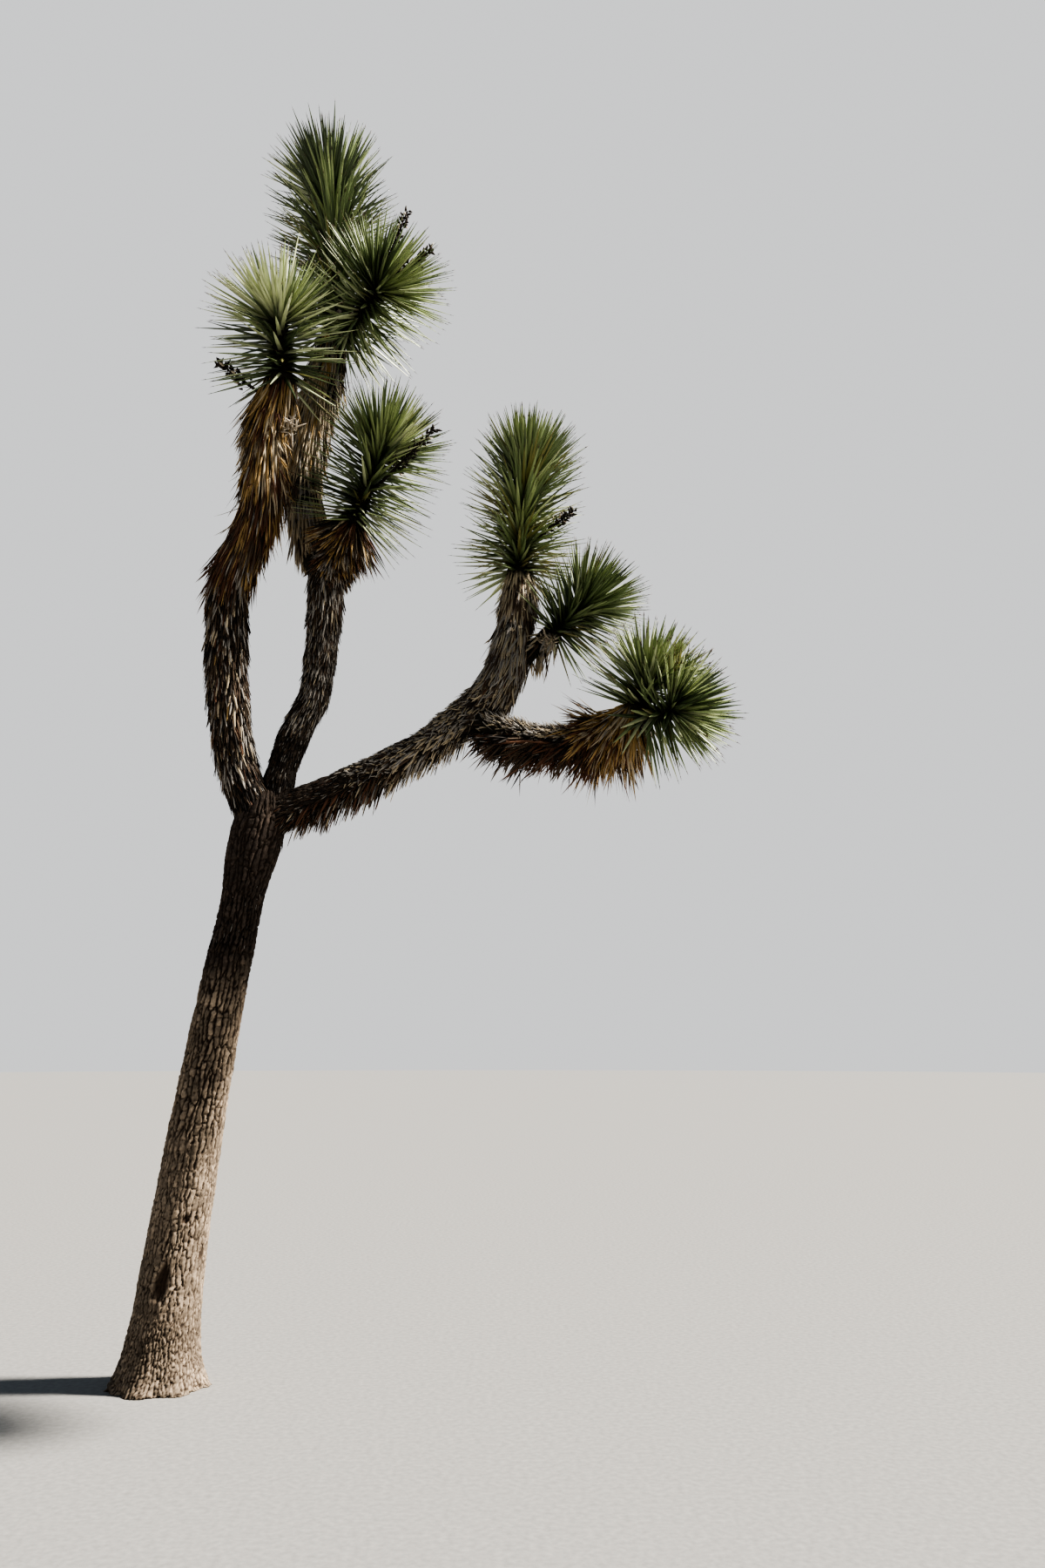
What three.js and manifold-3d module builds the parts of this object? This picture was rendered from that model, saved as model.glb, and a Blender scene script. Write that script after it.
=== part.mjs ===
// A mature joshua tree. A leaning trunk forks into three boughs, and each ends in rosettes of stiff
// dagger leaves above a skirt of its own dead leaves. Millimetres, +Z up. The origin is the middle
// of the flat cut under the trunk, +X is the side the trunk leans to, +Y is away from the viewer.
import * as THREE from "three";
import { mergeVertices } from "three/addons/utils/BufferGeometryUtils.js";
import Module from "manifold-3d";

const wasm = await Module();
wasm.setup();
const { clamp, degToRad, lerp, radToDeg, smoothstep } = THREE.MathUtils;

// Trunk
const TRUNK_HEIGHT = 2390; // ground to the top of the dome in the fork
const TRUNK_LEAN = 315; // how far the fork stands to the side of the foot
const TRUNK_LEAN_POWER = 1.38; // the lean grows towards the fork
const TRUNK_RADIUS = 134;
const TRUNK_TAPER = 0.0235; // radius lost for each millimetre of height
const FLARE_RADIUS = 62; // what the root flare adds at the ground
const FLARE_HEIGHT = 110;
const ROOT_LOBES = 7;
const LOBE_DEPTH = 0.06; // the flare's waves as a share of its radius
const SWELL_RADIUS = 34; // what the swelling under the fork adds
const SWELL_FROM = 1850;
const DOME_FROM = 2215; // above this the trunk rounds over between the boughs
const DOME_HEIGHT = 190;
const TRUNK_SIDES = 20;
const TRUNK_RINGS = 24;
const RING_SPREAD = 1.2; // rings stand closer together at the foot

// Limbs
const GAP = 0.6; // clearance between pieces that meet, a little less where they bend
const LIMB_SIDES = 12;
const LIMB_STEP = 80;
const SKIRT_SIDES = 8;
const SKIRT_STEP = 110;
const ROSETTE_SIDES = 5; // few, because the leaves hide a rosette's stem
const ROSETTE_STEP = 200;
const KNUCKLES = 0.03; // a limb swells and narrows by this share of its radius
const KNUCKLE_LENGTH = 210;
const TIP_ROUNDING = 0.8; // how far the square of the radius shrinks at a rounded tip
const TIP_BLUNTNESS = 6; // the higher, the nearer the tip the rounding begins
const DIVISIONS = 60; // straight steps from one station to the next when a limb is measured

// Leaves
const GOLDEN_ANGLE = Math.PI * (3 - Math.sqrt(5));
const LEAF_WIDTH = 36; // each leaf stands for several, so it is wider than a real one
const LEAF_THICKNESS = 12;
const LEAF_SINK = 0.5; // where a green leaf's root sits, as a share of the stem's radius
const DEAD_LEAF_SINK = 0.84;
const COLUMN_TOP = 0.85; // how far up the stem the leaves under the tip reach
const BURST_FROM = 0.84; // the tip's own leaves spring from this stretch of the stem
const BURST_TO = 0.9;
const NOTCH_DEPTH = 0.42; // how much shorter leaves are in a notch
const NOTCH_WIDTH = 0.07;
const ANGLE_JITTER = 10; // degrees
const TURN_JITTER = 0.3; // radians
const LENGTH_JITTER = 0.2;
const CLEARANCE = 3; // least space between a leaf and what it may not touch
const SHORTEST_LEAF = 0.5; // a leaf that has to be cut shorter than this share is left out
const SHORTER = 0.88; // what is left of a leaf's length at each cut
const PROBES = 12; // places along a leaf where its space is tested
const SAMPLE_STEP = 30; // distance between the points that stand for a stem in those tests

const trunkCentre = (z) => TRUNK_LEAN * Math.pow(Math.max(z, 0) / TRUNK_HEIGHT, TRUNK_LEAN_POWER);

function trunkRadius(z) {
  const swell = SWELL_RADIUS * smoothstep(z, SWELL_FROM, DOME_FROM);
  const dome = Math.max(z - DOME_FROM, 0) / DOME_HEIGHT;
  const flare = FLARE_RADIUS * Math.exp(-z / FLARE_HEIGHT);
  return (TRUNK_RADIUS - TRUNK_TAPER * z + flare + swell) * Math.sqrt(1 - dome * dome);
}

// A closed three.js geometry as a solid that can be joined and cut.
function solidOf(geometry) {
  geometry.deleteAttribute("normal");
  geometry.deleteAttribute("uv");
  const merged = mergeVertices(geometry, 1e-3);
  return new wasm.Manifold(
    new wasm.Mesh({
      numProp: 3,
      vertProperties: merged.attributes.position.array,
      triVerts: new Uint32Array(merged.index.array),
    }),
  );
}

function geometryOf(solid) {
  const mesh = solid.getMesh();
  return new THREE.BufferGeometry()
    .setAttribute("position", new THREE.BufferAttribute(mesh.vertProperties, 3))
    .setIndex(new THREE.BufferAttribute(mesh.triVerts, 1));
}

const largestBody = (solid) => solid.decompose().sort((a, b) => b.volume() - a.volume())[0];

// The trunk is a stack of level rings, so that its foot is one flat cut.
function trunkSolid(grow = 0) {
  const geometry = new THREE.CylinderGeometry(1, 1, 1, TRUNK_SIDES, TRUNK_RINGS);
  const position = geometry.attributes.position;
  for (let i = 0; i < position.count; i++) {
    const share = position.getY(i) + 0.5;
    const level = TRUNK_HEIGHT * Math.pow(share, RING_SPREAD);
    const z = level + (share === 1 ? grow : 0);
    const angle = Math.atan2(position.getZ(i), position.getX(i));
    const rim = Math.hypot(position.getX(i), position.getZ(i));
    const lobes = 1 + LOBE_DEPTH * Math.cos(ROOT_LOBES * angle) * Math.exp(-z / FLARE_HEIGHT);
    const r = rim * (trunkRadius(level) * lobes + grow);
    position.setXYZ(i, trunkCentre(level) + r * Math.cos(angle), -r * Math.sin(angle), z);
  }
  return solidOf(geometry);
}

// A limb is a smooth route through stations, each a point and the radius there.
class Limb {
  constructor(stations) {
    this.radii = stations.map((s) => s[3]);
    const points = stations.map((s) => new THREE.Vector3(s[0], s[1], s[2]));
    this.curve = new THREE.CatmullRomCurve3(points, false, "centripetal");
    this.length = this.curve.getLength();
  }

  // How far along the limb a station is.
  mark(station) {
    return this.curve.getLengths(DIVISIONS * (this.radii.length - 1))[DIVISIONS * station];
  }

  radius(along) {
    const place = this.curve.getUtoTmapping(clamp(along / this.length, 0, 1)) * (this.radii.length - 1);
    const i = Math.min(Math.floor(place), this.radii.length - 2);
    const knuckle = 1 + KNUCKLES * Math.sin((2 * Math.PI * along) / KNUCKLE_LENGTH);
    return lerp(this.radii[i], this.radii[i + 1], place - i) * knuckle;
  }

  // The place on the middle line, the direction of growth there, and two directions across it.
  frame(along) {
    const u = clamp(along / this.length, 0, 1);
    const axis = this.curve.getTangentAt(u);
    const point = this.curve.getPointAt(u).addScaledVector(axis, along - u * this.length);
    const side = new THREE.Vector3().crossVectors(axis, new THREE.Vector3(0, 1, 0)).normalize();
    const front = new THREE.Vector3().crossVectors(side, axis);
    return { point, axis, side, front };
  }
}

// Routes of the limbs: x, y, z and radius at each station. A branch starts inside its parent.
const limbs = {
  left: new Limb([
    [270, 0, 2140, 92],
    [258, -8, 2290, 93],
    [180, -40, 2520, 90],
    [142, -80, 2785, 89],
    [131, -120, 3050, 92],
    [142, -150, 3310, 92], // the bend, where the dead leaves begin
    [230, -162, 3545, 92],
    [268, -172, 3700, 91],
    [283, -200, 4060, 90],
    [340, -225, 4225, 84], // the rosette's foot
    [342, -275, 4370, 72],
    [326, -322, 4515, 72],
  ]),
  middle: new Limb([
    [322, 15, 2160, 74],
    [345, 15, 2340, 76],
    [393, 20, 2560, 74],
    [445, 28, 2705, 73],
    [496, 30, 2815, 74],
    [513, 30, 2940, 75],
    [524, 30, 3079, 78],
    [532, 30, 3270, 83],
    [536, 26, 3400, 84], // the second fork
    [588, 5, 3520, 76],
    [650, -20, 3632, 66], // the rosette's foot
    [725, -45, 3820, 66],
    [797, -60, 4010, 70],
  ]),
  leader: new Limb([
    [528, 34, 3290, 60],
    [502, 46, 3440, 82],
    [452, 65, 3590, 88],
    [404, 100, 3820, 88],
    [398, 120, 4055, 86],
    [430, 130, 4290, 84],
    [478, 128, 4530, 78],
    [508, 125, 4690, 74], // the rosette's foot
    [500, 138, 5000, 70],
    [480, 147, 5300, 68],
    [442, 152, 5600, 70],
  ]),
  inner: new Limb([
    [490, 126, 4590, 46],
    [567, 80, 4659, 58],
    [670, -25, 4730, 66],
    [780, -125, 4817, 70],
  ]),
  right: new Limb([
    [290, 0, 2200, 84],
    [370, 0, 2275, 90],
    [520, 0, 2342, 84],
    [670, -10, 2408, 82],
    [990, -30, 2566, 79],
    [1160, -38, 2690, 88],
    [1275, -20, 2802, 95], // past the fork of the low limb
    [1337, 20, 2916, 95],
    [1380, 80, 3100, 92],
    [1408, 130, 3310, 82],
    [1411, 150, 3447, 72], // the rosette's foot
    [1420, 170, 3740, 68],
    [1456, 190, 4055, 68],
  ]),
  low: new Limb([
    [1190, -30, 2730, 66],
    [1290, -62, 2650, 76],
    [1430, -122, 2585, 77],
    [1575, -200, 2549, 75],
    [1717, -280, 2551, 72],
    [1825, -350, 2580, 68],
    [1895, -388, 2632, 64], // the rosette's foot
    [1950, -405, 2755, 66],
  ]),
  end: new Limb([
    [1830, -350, 2595, 40],
    [1961, -440, 2603, 58],
    [2062, -500, 2618, 64],
  ]),
  side: new Limb([
    [1370, 66, 2990, 38],
    [1440, 66, 3020, 44],
    [1500, 76, 3078, 44],
    [1562, 85, 3132, 56], // the rosette's foot
    [1650, 76, 3208, 62],
    [1730, 62, 3283, 62],
  ]),
};

// Every piece is a stretch of a limb, from one station to another. "clearOf" names what its foot is
// cut clear of. A mass carries leaves: "open" is their angle off the direction of growth at the
// foot, under the tip and at the very tip, "column" is the share of them that stands under the tip,
// "long" is their length at the foot and at the tip, and "reach" is the radius of the mass's space.
// "notch" is a place in the column where leaves are short, between two years' growth, and "droop"
// turns the leaves of a mass on a level limb towards the ground.
const pieces = [
  { name: "bough_left_lower", limb: "left", span: [0, 4], clearOf: ["trunk"] },
  { name: "bough_left_upper", limb: "left", span: [4, 5] },
  { name: "skirt_left_lower", limb: "left", span: [5, 7],
    leaves: 24, open: [168, 172, 172], column: 1, long: [210, 230], reach: 160 },
  { name: "skirt_left_upper", limb: "left", span: [7, 9],
    leaves: 34, open: [171, 163, 163], column: 1, long: [230, 260], reach: 190 },
  { name: "rosette_left", limb: "left", span: [9, 11],
    leaves: 62, open: [128, 75, 5], column: 0.45, long: [285, 300], reach: 320 },
  { name: "bough_middle_lower", limb: "middle", span: [0, 6], clearOf: ["trunk", "bough_left_lower"] },
  { name: "bough_middle_upper", limb: "middle", span: [6, 8] },
  { name: "skirt_low", limb: "middle", span: [8, 10],
    leaves: 26, open: [150, 125, 125], column: 1, long: [180, 240], reach: 280 },
  { name: "rosette_low", limb: "middle", span: [10, 12],
    leaves: 60, open: [120, 75, 5], column: 0.45, long: [285, 295], reach: 320 },
  { name: "skirt_leader_lower", limb: "leader", span: [0, 4], clearOf: ["bough_middle_upper", "skirt_low"],
    leaves: 22, open: [170, 172, 172], column: 1, long: [200, 220], reach: 150 },
  { name: "skirt_leader_upper", limb: "leader", span: [4, 7],
    leaves: 26, open: [171, 164, 164], column: 1, long: [220, 260], reach: 170 },
  { name: "rosette_top", limb: "leader", span: [7, 10],
    leaves: 104, open: [105, 52, 5], column: 0.66, long: [285, 335], reach: 330, notch: 0.36 },
  { name: "rosette_inner", limb: "inner", span: [0, 3], clearOf: ["skirt_leader_upper", "rosette_top"],
    leaves: 64, open: [130, 75, 5], column: 0.45, long: [315, 320], reach: 340 },
  { name: "bough_right", limb: "right", span: [0, 6],
    clearOf: ["trunk", "bough_left_lower", "bough_middle_lower"] },
  { name: "bough_right_upper", limb: "right", span: [6, 8] },
  { name: "skirt_tall", limb: "right", span: [8, 10],
    leaves: 20, open: [170, 163, 163], column: 1, long: [170, 190], reach: 160 },
  { name: "rosette_tall", limb: "right", span: [10, 12],
    leaves: 84, open: [118, 50, 5], column: 0.6, long: [260, 290], reach: 290, notch: 0.4 },
  { name: "skirt_right", limb: "low", span: [0, 4], clearOf: ["bough_right", "bough_right_upper"],
    leaves: 40, open: [150, 150, 150], column: 1, long: [200, 220], reach: 240, droop: 0.5 },
  { name: "skirt_end", limb: "low", span: [4, 6],
    leaves: 36, open: [130, 110, 110], column: 1, long: [260, 290], reach: 310, droop: 0.9 },
  { name: "rosette_far", limb: "low", span: [6, 7],
    leaves: 44, open: [105, 70, 5], column: 0.3, long: [245, 255], reach: 270 },
  { name: "rosette_end", limb: "end", span: [0, 2], clearOf: ["skirt_end", "rosette_far"],
    leaves: 54, open: [125, 75, 5], column: 0.4, long: [250, 250], reach: 270 },
  { name: "skirt_side", limb: "side", span: [0, 3], clearOf: ["bough_right_upper", "skirt_tall"],
    leaves: 14, open: [150, 140, 140], column: 1, long: [140, 180], reach: 160 },
  { name: "rosette_side", limb: "side", span: [3, 5],
    leaves: 50, open: [110, 58, 5], column: 0.45, long: [250, 270], reach: 270 },
];

// The dried flower stalks: the rosette each stands in, how far up its stem, and its far end.
const stalks = [
  { on: "rosette_left", share: 0.15, end: [40, -250, 4290] },
  { on: "rosette_inner", share: 0.8, end: [880, -10, 5270] },
  { on: "rosette_low", share: 0.2, end: [995, -130, 4045] },
  { on: "rosette_tall", share: 0.4, end: [1655, 150, 3800] },
];
const STALK_RADIUS = 14;
const STALK_SIDES = 5;
const STALK_KNOBS = 9;
const KNOBS_FROM = 0.55; // the knobs stand on the stalk's far part, up to KNOBS_TO
const KNOBS_TO = 0.93;
const KNOB_LENGTH = 46;
const KNOB_RADIUS = 9;
const KNOB_SIDES = 4;
const KNOB_ANGLE = 0.9;
const FIRST_SEED = 101;
const SEED_STEP = 37;

const COLOURS = {
  bark: new THREE.MeshStandardMaterial({ color: 0x6f6253, roughness: 0.95, metalness: 0 }),
  rosette: new THREE.MeshStandardMaterial({ color: 0x5f7037, roughness: 0.6, metalness: 0 }),
  skirt: new THREE.MeshStandardMaterial({ color: 0x8c6a3c, roughness: 0.85, metalness: 0 }),
};

// Repeatable numbers from 0 to 1.
function seeded(seed) {
  let state = seed;
  return () => {
    state = (state * 16807) % 2147483647;
    return state / 2147483647;
  };
}

const pieceNamed = (name) => pieces.find((piece) => piece.name === name);

// The radius of a piece's stem, which narrows towards a free end.
function stemRadius(piece, share) {
  const free = piece.span[1] === piece.line.radii.length - 1;
  const taper = free ? Math.sqrt(1 - TIP_ROUNDING * Math.pow(clamp(share, 0, 1), TIP_BLUNTNESS)) : 1;
  return piece.line.radius(lerp(piece.from, piece.to, share)) * taper;
}

const insideStem = (piece, point) =>
  piece.samples.some((s) => s.point.distanceTo(point) < s.radius);

// Measure each piece once: where it starts and ends, and points along the middle line of its stem
// outside the stem that it branches from.
for (const piece of pieces) {
  piece.line = limbs[piece.limb];
  piece.from = piece.line.mark(piece.span[0]) + (piece.span[0] > 0 ? GAP : 0);
  piece.to = piece.line.mark(piece.span[1]);
  const parents = (piece.clearOf ?? []).filter((name) => name !== "trunk").map(pieceNamed);
  const steps = Math.ceil((piece.to - piece.from) / SAMPLE_STEP);
  piece.samples = Array.from({ length: steps + 1 }, (_, i) => ({
    point: piece.line.frame(lerp(piece.from, piece.to, i / steps)).point,
    radius: stemRadius(piece, i / steps),
  })).filter(({ point }) => !parents.some((parent) => insideStem(parent, point)));
}
const masses = pieces.filter((piece) => piece.leaves);

const distanceTo = (piece, point) => Math.min(...piece.samples.map((s) => s.point.distanceTo(point)));

// Each point in the air belongs to the mass whose stem is nearest for the size of its space.
function ownsPoint(mass, point, ball) {
  const share = distanceTo(mass, point) / mass.reach;
  return masses.every(
    (other) => other === mass || (distanceTo(other, point) - 2 * ball) / other.reach > share,
  );
}

// How much of a leaf fits in its mass's own space, as a share of its length.
function roomFor(mass, root, direction, length) {
  for (let i = 1; i <= PROBES; i++) {
    const probe = root.clone().addScaledVector(direction, (length * i) / PROBES);
    const ball = (LEAF_WIDTH / 2) * (1 - i / PROBES) + CLEARANCE;
    if (!insideStem(mass, probe) && !ownsPoint(mass, probe, ball)) return (i - 1) / PROBES;
  }
  return 1;
}

function boxesMeet(a, b) {
  return [0, 1, 2].every((k) => a.min[k] < b.max[k] && b.min[k] < a.max[k]);
}

// True where a leaf comes too near the trunk or a stem other than its own.
function touchesStem(leaf, own) {
  const box = leaf.boundingBox();
  return guarded.some(
    ({ name, solid, bounds }) =>
      name !== own.name && boxesMeet(box, bounds) && !leaf.intersect(solid).isEmpty(),
  );
}

// A three-sided dagger. It is widest at its sunken root, flat above and keeled below.
function leafSolid(root, direction, across, length) {
  const keel = new THREE.Vector3().crossVectors(across, direction);
  const geometry = new THREE.ConeGeometry(1, length, 3).translate(0, length / 2, 0);
  geometry.scale(LEAF_WIDTH / Math.sqrt(3), 1, LEAF_THICKNESS / 1.5);
  geometry.applyMatrix4(new THREE.Matrix4().makeBasis(across, direction, keel).setPosition(root));
  return solidOf(geometry);
}

// Where the leaf at a share of the way through the spiral stands and how far it opens.
function leafPlace(mass, share) {
  const [foot, under, tip] = mass.open;
  const up = share / mass.column;
  if (up < 1) {
    const top = mass.column === 1 ? 1 : COLUMN_TOP;
    const notch = mass.notch ? Math.exp(-Math.pow((up - mass.notch) / NOTCH_WIDTH, 2)) : 0;
    return { up: top * up, open: lerp(foot, under, Math.sqrt(up)), size: 1 - NOTCH_DEPTH * notch };
  }
  const round = (share - mass.column) / (1 - mass.column);
  const open = Math.acos(lerp(Math.cos(degToRad(under)), Math.cos(degToRad(tip)), round));
  return { up: lerp(BURST_FROM, BURST_TO, round), open: radToDeg(open), size: 1 };
}

// The leaves of one mass, set in a spiral from its foot to its tip.
function massLeaves(mass, seed) {
  const random = seeded(seed);
  const jitter = (size) => size * (random() - 0.5);
  const green = mass.name.startsWith("rosette");
  const found = [];
  for (let i = 0; i < mass.leaves; i++) {
    const place = leafPlace(mass, (i + 0.5) / mass.leaves);
    const angle = i * GOLDEN_ANGLE + jitter(TURN_JITTER);
    const open = degToRad(place.open + jitter(ANGLE_JITTER));
    const length = lerp(...mass.long, place.up) * place.size * (1 + jitter(LENGTH_JITTER));
    const { point, axis, side, front } = mass.line.frame(lerp(mass.from, mass.to, place.up));
    const out = side.multiplyScalar(Math.cos(angle)).addScaledVector(front, Math.sin(angle));
    const direction = axis.clone().multiplyScalar(Math.cos(open)).addScaledVector(out, Math.sin(open));
    direction.z -= mass.droop ?? 0;
    direction.normalize();
    const across = axis.cross(out).projectOnPlane(direction).normalize();
    point.addScaledVector(out, (green ? LEAF_SINK : DEAD_LEAF_SINK) * stemRadius(mass, place.up));
    let room = roomFor(mass, point, direction, length);
    while (room >= SHORTEST_LEAF) {
      const leaf = leafSolid(point, direction, across, length * room);
      if (!touchesStem(leaf, mass)) {
        found.push(leaf);
        break;
      }
      room *= SHORTER;
    }
  }
  return found;
}

// A dried flower stalk: a thin tapering stem with short knobs where the flowers were.
function stalkSolids(mass, stalk, seed) {
  const random = seeded(seed);
  const root = mass.line.frame(lerp(mass.from, mass.to, stalk.share)).point;
  const axis = new THREE.Vector3(...stalk.end).sub(root);
  const length = axis.length();
  const turn = new THREE.Quaternion().setFromUnitVectors(new THREE.Vector3(0, 1, 0), axis.normalize());
  const place = new THREE.Matrix4().compose(root, turn, new THREE.Vector3(1, 1, 1));
  const stem = new THREE.ConeGeometry(STALK_RADIUS, length, STALK_SIDES).translate(0, length / 2, 0);
  const knobs = Array.from({ length: STALK_KNOBS }, (_, i) => {
    const knob = new THREE.ConeGeometry(KNOB_RADIUS, KNOB_LENGTH, KNOB_SIDES);
    knob.translate(0, KNOB_LENGTH / 2, 0).rotateX(KNOB_ANGLE).rotateY(i * GOLDEN_ANGLE + random());
    return knob.translate(0, length * lerp(KNOBS_FROM, KNOBS_TO, i / STALK_KNOBS), 0);
  });
  return [stem, ...knobs].map((geometry) => solidOf(geometry.applyMatrix4(place)));
}

const STEM_SHAPES = {
  bough: [LIMB_SIDES, LIMB_STEP],
  skirt: [SKIRT_SIDES, SKIRT_STEP],
  rosette: [ROSETTE_SIDES, ROSETTE_STEP],
};

// The bare stem of a piece: a closed tube along its stretch. A free end is rounded.
function stemSolid(piece, grow = 0) {
  const { line, from, to } = piece;
  const [sides, step] = STEM_SHAPES[piece.name.split("_")[0]];
  const rings = Math.max(2, Math.round((to - from) / step));
  const geometry = new THREE.CylinderGeometry(1, 1, 1, sides, rings);
  const position = geometry.attributes.position;
  for (let i = 0; i < position.count; i++) {
    const share = position.getY(i) + 0.5;
    const along = lerp(from - grow, to + grow, share);
    const { point, side, front } = line.frame(along);
    const r = stemRadius(piece, share) + grow;
    point.addScaledVector(side, r * position.getX(i)).addScaledVector(front, r * position.getZ(i));
    position.setXYZ(i, point.x, point.y, point.z);
  }
  return solidOf(geometry);
}

// The stem of a piece, cut clear of what it branches from.
function clearedStem(piece, grow = 0) {
  let stem = stemSolid(piece, grow);
  for (const name of piece.clearOf ?? []) {
    stem = stem.subtract(name === "trunk" ? trunkSolid(GAP) : stemSolid(pieceNamed(name), GAP));
  }
  return largestBody(stem);
}

// What no leaf of another mass may touch: the trunk and every stem, a little enlarged.
const guarded = [
  { name: "trunk", solid: trunkSolid(CLEARANCE) },
  ...pieces.map((piece) => ({ name: piece.name, solid: clearedStem(piece, CLEARANCE) })),
];
for (const guard of guarded) guard.bounds = guard.solid.boundingBox();

function pieceSolid(piece, seed) {
  const stem = clearedStem(piece);
  if (!piece.leaves) return stem;
  const parts = [stem, ...massLeaves(piece, seed)];
  const stalk = stalks.find((candidate) => candidate.on === piece.name);
  if (stalk) parts.push(...stalkSolids(piece, stalk, seed));
  return largestBody(wasm.Manifold.union(parts));
}

const tree = new THREE.Group();

function addMesh(name, solid, material) {
  const mesh = new THREE.Mesh(geometryOf(solid), material);
  mesh.name = name;
  tree.add(mesh);
}

addMesh("trunk", trunkSolid(), COLOURS.bark);
pieces.forEach((piece, i) => {
  const kind = piece.name.split("_")[0];
  addMesh(piece.name, pieceSolid(piece, FIRST_SEED + SEED_STEP * i), COLOURS[kind] ?? COLOURS.bark);
});

export default tree;
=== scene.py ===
"""The looks of a mature joshua tree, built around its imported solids. Metres, +Z up.

Bark with relief replaces the trunk and boughs. Rosettes of living dagger leaves, skirts of dead
ones, and dried flower stalks grow on the same routes and by the same spiral rule as the solids.
"""
import math

import bpy
import numpy as np
from bpy.props import FloatProperty, FloatVectorProperty, IntProperty, PointerProperty
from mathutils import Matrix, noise


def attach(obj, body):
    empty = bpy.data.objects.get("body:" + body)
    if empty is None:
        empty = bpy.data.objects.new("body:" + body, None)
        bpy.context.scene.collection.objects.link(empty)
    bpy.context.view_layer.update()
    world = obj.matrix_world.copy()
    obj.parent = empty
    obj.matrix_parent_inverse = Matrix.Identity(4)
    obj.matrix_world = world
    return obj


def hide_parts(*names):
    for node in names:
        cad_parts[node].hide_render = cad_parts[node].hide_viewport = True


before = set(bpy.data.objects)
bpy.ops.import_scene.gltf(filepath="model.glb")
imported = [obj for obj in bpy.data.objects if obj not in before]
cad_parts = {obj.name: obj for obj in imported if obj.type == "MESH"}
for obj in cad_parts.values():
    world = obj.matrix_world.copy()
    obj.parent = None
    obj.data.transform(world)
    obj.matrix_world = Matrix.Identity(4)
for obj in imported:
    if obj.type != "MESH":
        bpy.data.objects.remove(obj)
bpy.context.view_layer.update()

bl_info = {
    "name": "Joshua Tree",
    "version": (1, 0, 0),
    "blender": (4, 5, 0),
    "location": "3D Viewport > Sidebar > Joshua Tree",
    "description": "Builds the bark, leaves and flower stalks of a joshua tree",
    "category": "Add Mesh",
}

MM = 0.001

# Trunk, as in the solids
TRUNK_HEIGHT = 2.39
TRUNK_LEAN = 0.315
TRUNK_LEAN_POWER = 1.38
TRUNK_RADIUS = 0.134
TRUNK_TAPER = 0.0235
FLARE_RADIUS = 0.062
FLARE_HEIGHT = 0.11
ROOT_LOBES = 7
LOBE_DEPTH = 0.06
SWELL_RADIUS = 0.034
SWELL_FROM = 1.85
DOME_FROM = 2.215
DOME_HEIGHT = 0.19

# Limbs and leaves, as in the solids
KNUCKLES = 0.03
KNUCKLE_LENGTH = 0.21
TIP_ROUNDING = 0.8
TIP_BLUNTNESS = 6
DIVISIONS = 60
GOLDEN_ANGLE = math.pi * (3 - math.sqrt(5))
LEAF_SINK = 0.5
DEAD_LEAF_SINK = 0.84
COLUMN_TOP = 0.85
BURST_FROM = 0.84
BURST_TO = 0.9
NOTCH_DEPTH = 0.42
NOTCH_WIDTH = 0.07
SHORTEST_LEAF = 0.5
PROBES = 12
SAMPLE_STEP = 0.03

# Limbs and leaves, finer than in the solids
UNEVENNESS = 0.04
ANGLE_JITTER = math.radians(14)
TURN_JITTER = 0.5
LENGTH_JITTER = 0.3
CLEARANCE = 0.002
LEAF_ROOM = 0.010
SHARED_SPACE = 0.6
SPRAYS_ROUND = 9
SPRAY_ROWS = 11
SPRAY_SHARE = 0.6
THATCH_ROW = 0.05
THATCH_WIDTHS = (0.0045, 0.0085)
MOST_TWIST = 1.5
SHORT_BY_SPIKES = 0.7
STRAY_LENGTH = 0.55
STRAYS_OPEN = (118, 150)
SHOOT_LENGTH = 1.17
SHOOTS_WITHIN = 0.8
SPINE_LENGTH = 0.022

# Where a leaf's root sits in the stem's radius, and how much it bends and twists
LIVE_HABIT = (LEAF_SINK, 0.018, 0.15)
DEAD_HABIT = (DEAD_LEAF_SINK, 0.06, 0.9)

# Grids of the bark and stems: faces round, and the number of rows or the length of one
TRUNK_SIDES, TRUNK_ROWS = 240, 408
BOUGH_SIDES, BOUGH_ROW = 104, 0.0062
STEM_SIDES, STEM_ROW = 22, 0.016
ROW_SPREAD = 1.05

# Thickness of the stems against that of the limbs, the radius left at a pole, the share of a stem
# over which its ends round off, how far the stem of a mass laps over the limb that carries it, and
# its ridges
BOUGH_CORE = 0.90
ROSETTE_CORE = 0.52
SKIRT_CORE = 0.84
POLE = 0.0005
BOUGH_END = 0.004
STEM_END = 0.02
STEM_LAP = 0.04
RIDGES, RIDGE_DEPTH = 13, 0.06

# Cork plates on the trunk, from the foot up: columns and plate height against those of the
# settings, height of a row, width of a crack, and seed
CRUMBS = (1.45, 0.6, 0.05, 0.0040, 5)
FINE_PLATES = (0.85, 1.15, 0.09, 0.0042, 3)
BOLD_PLATES = (0.60, 1.6, 0.12, 0.0072, 4)

# Heights between which one kind of plate gives way to the next, and where the trunk's girth is
# measured to count the columns
CRUMBS_END = (0.16, 0.42)
FINE_PLATES_END = (0.6, 1.1)
WAIST = 1.2

# Relief: depth of the scars, of fine and broad waves, of the waves at the foot and how high they
# reach, and of the shag on the boughs
SCAR_DEPTH = 0.010
FINE_WAVES = 0.0026
BROAD_WAVES = 0.004
ROOT_WAVES, ROOT_WAVES_HEIGHT = 0.017, 0.028
SHAG_DEPTH = 0.0025

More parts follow.
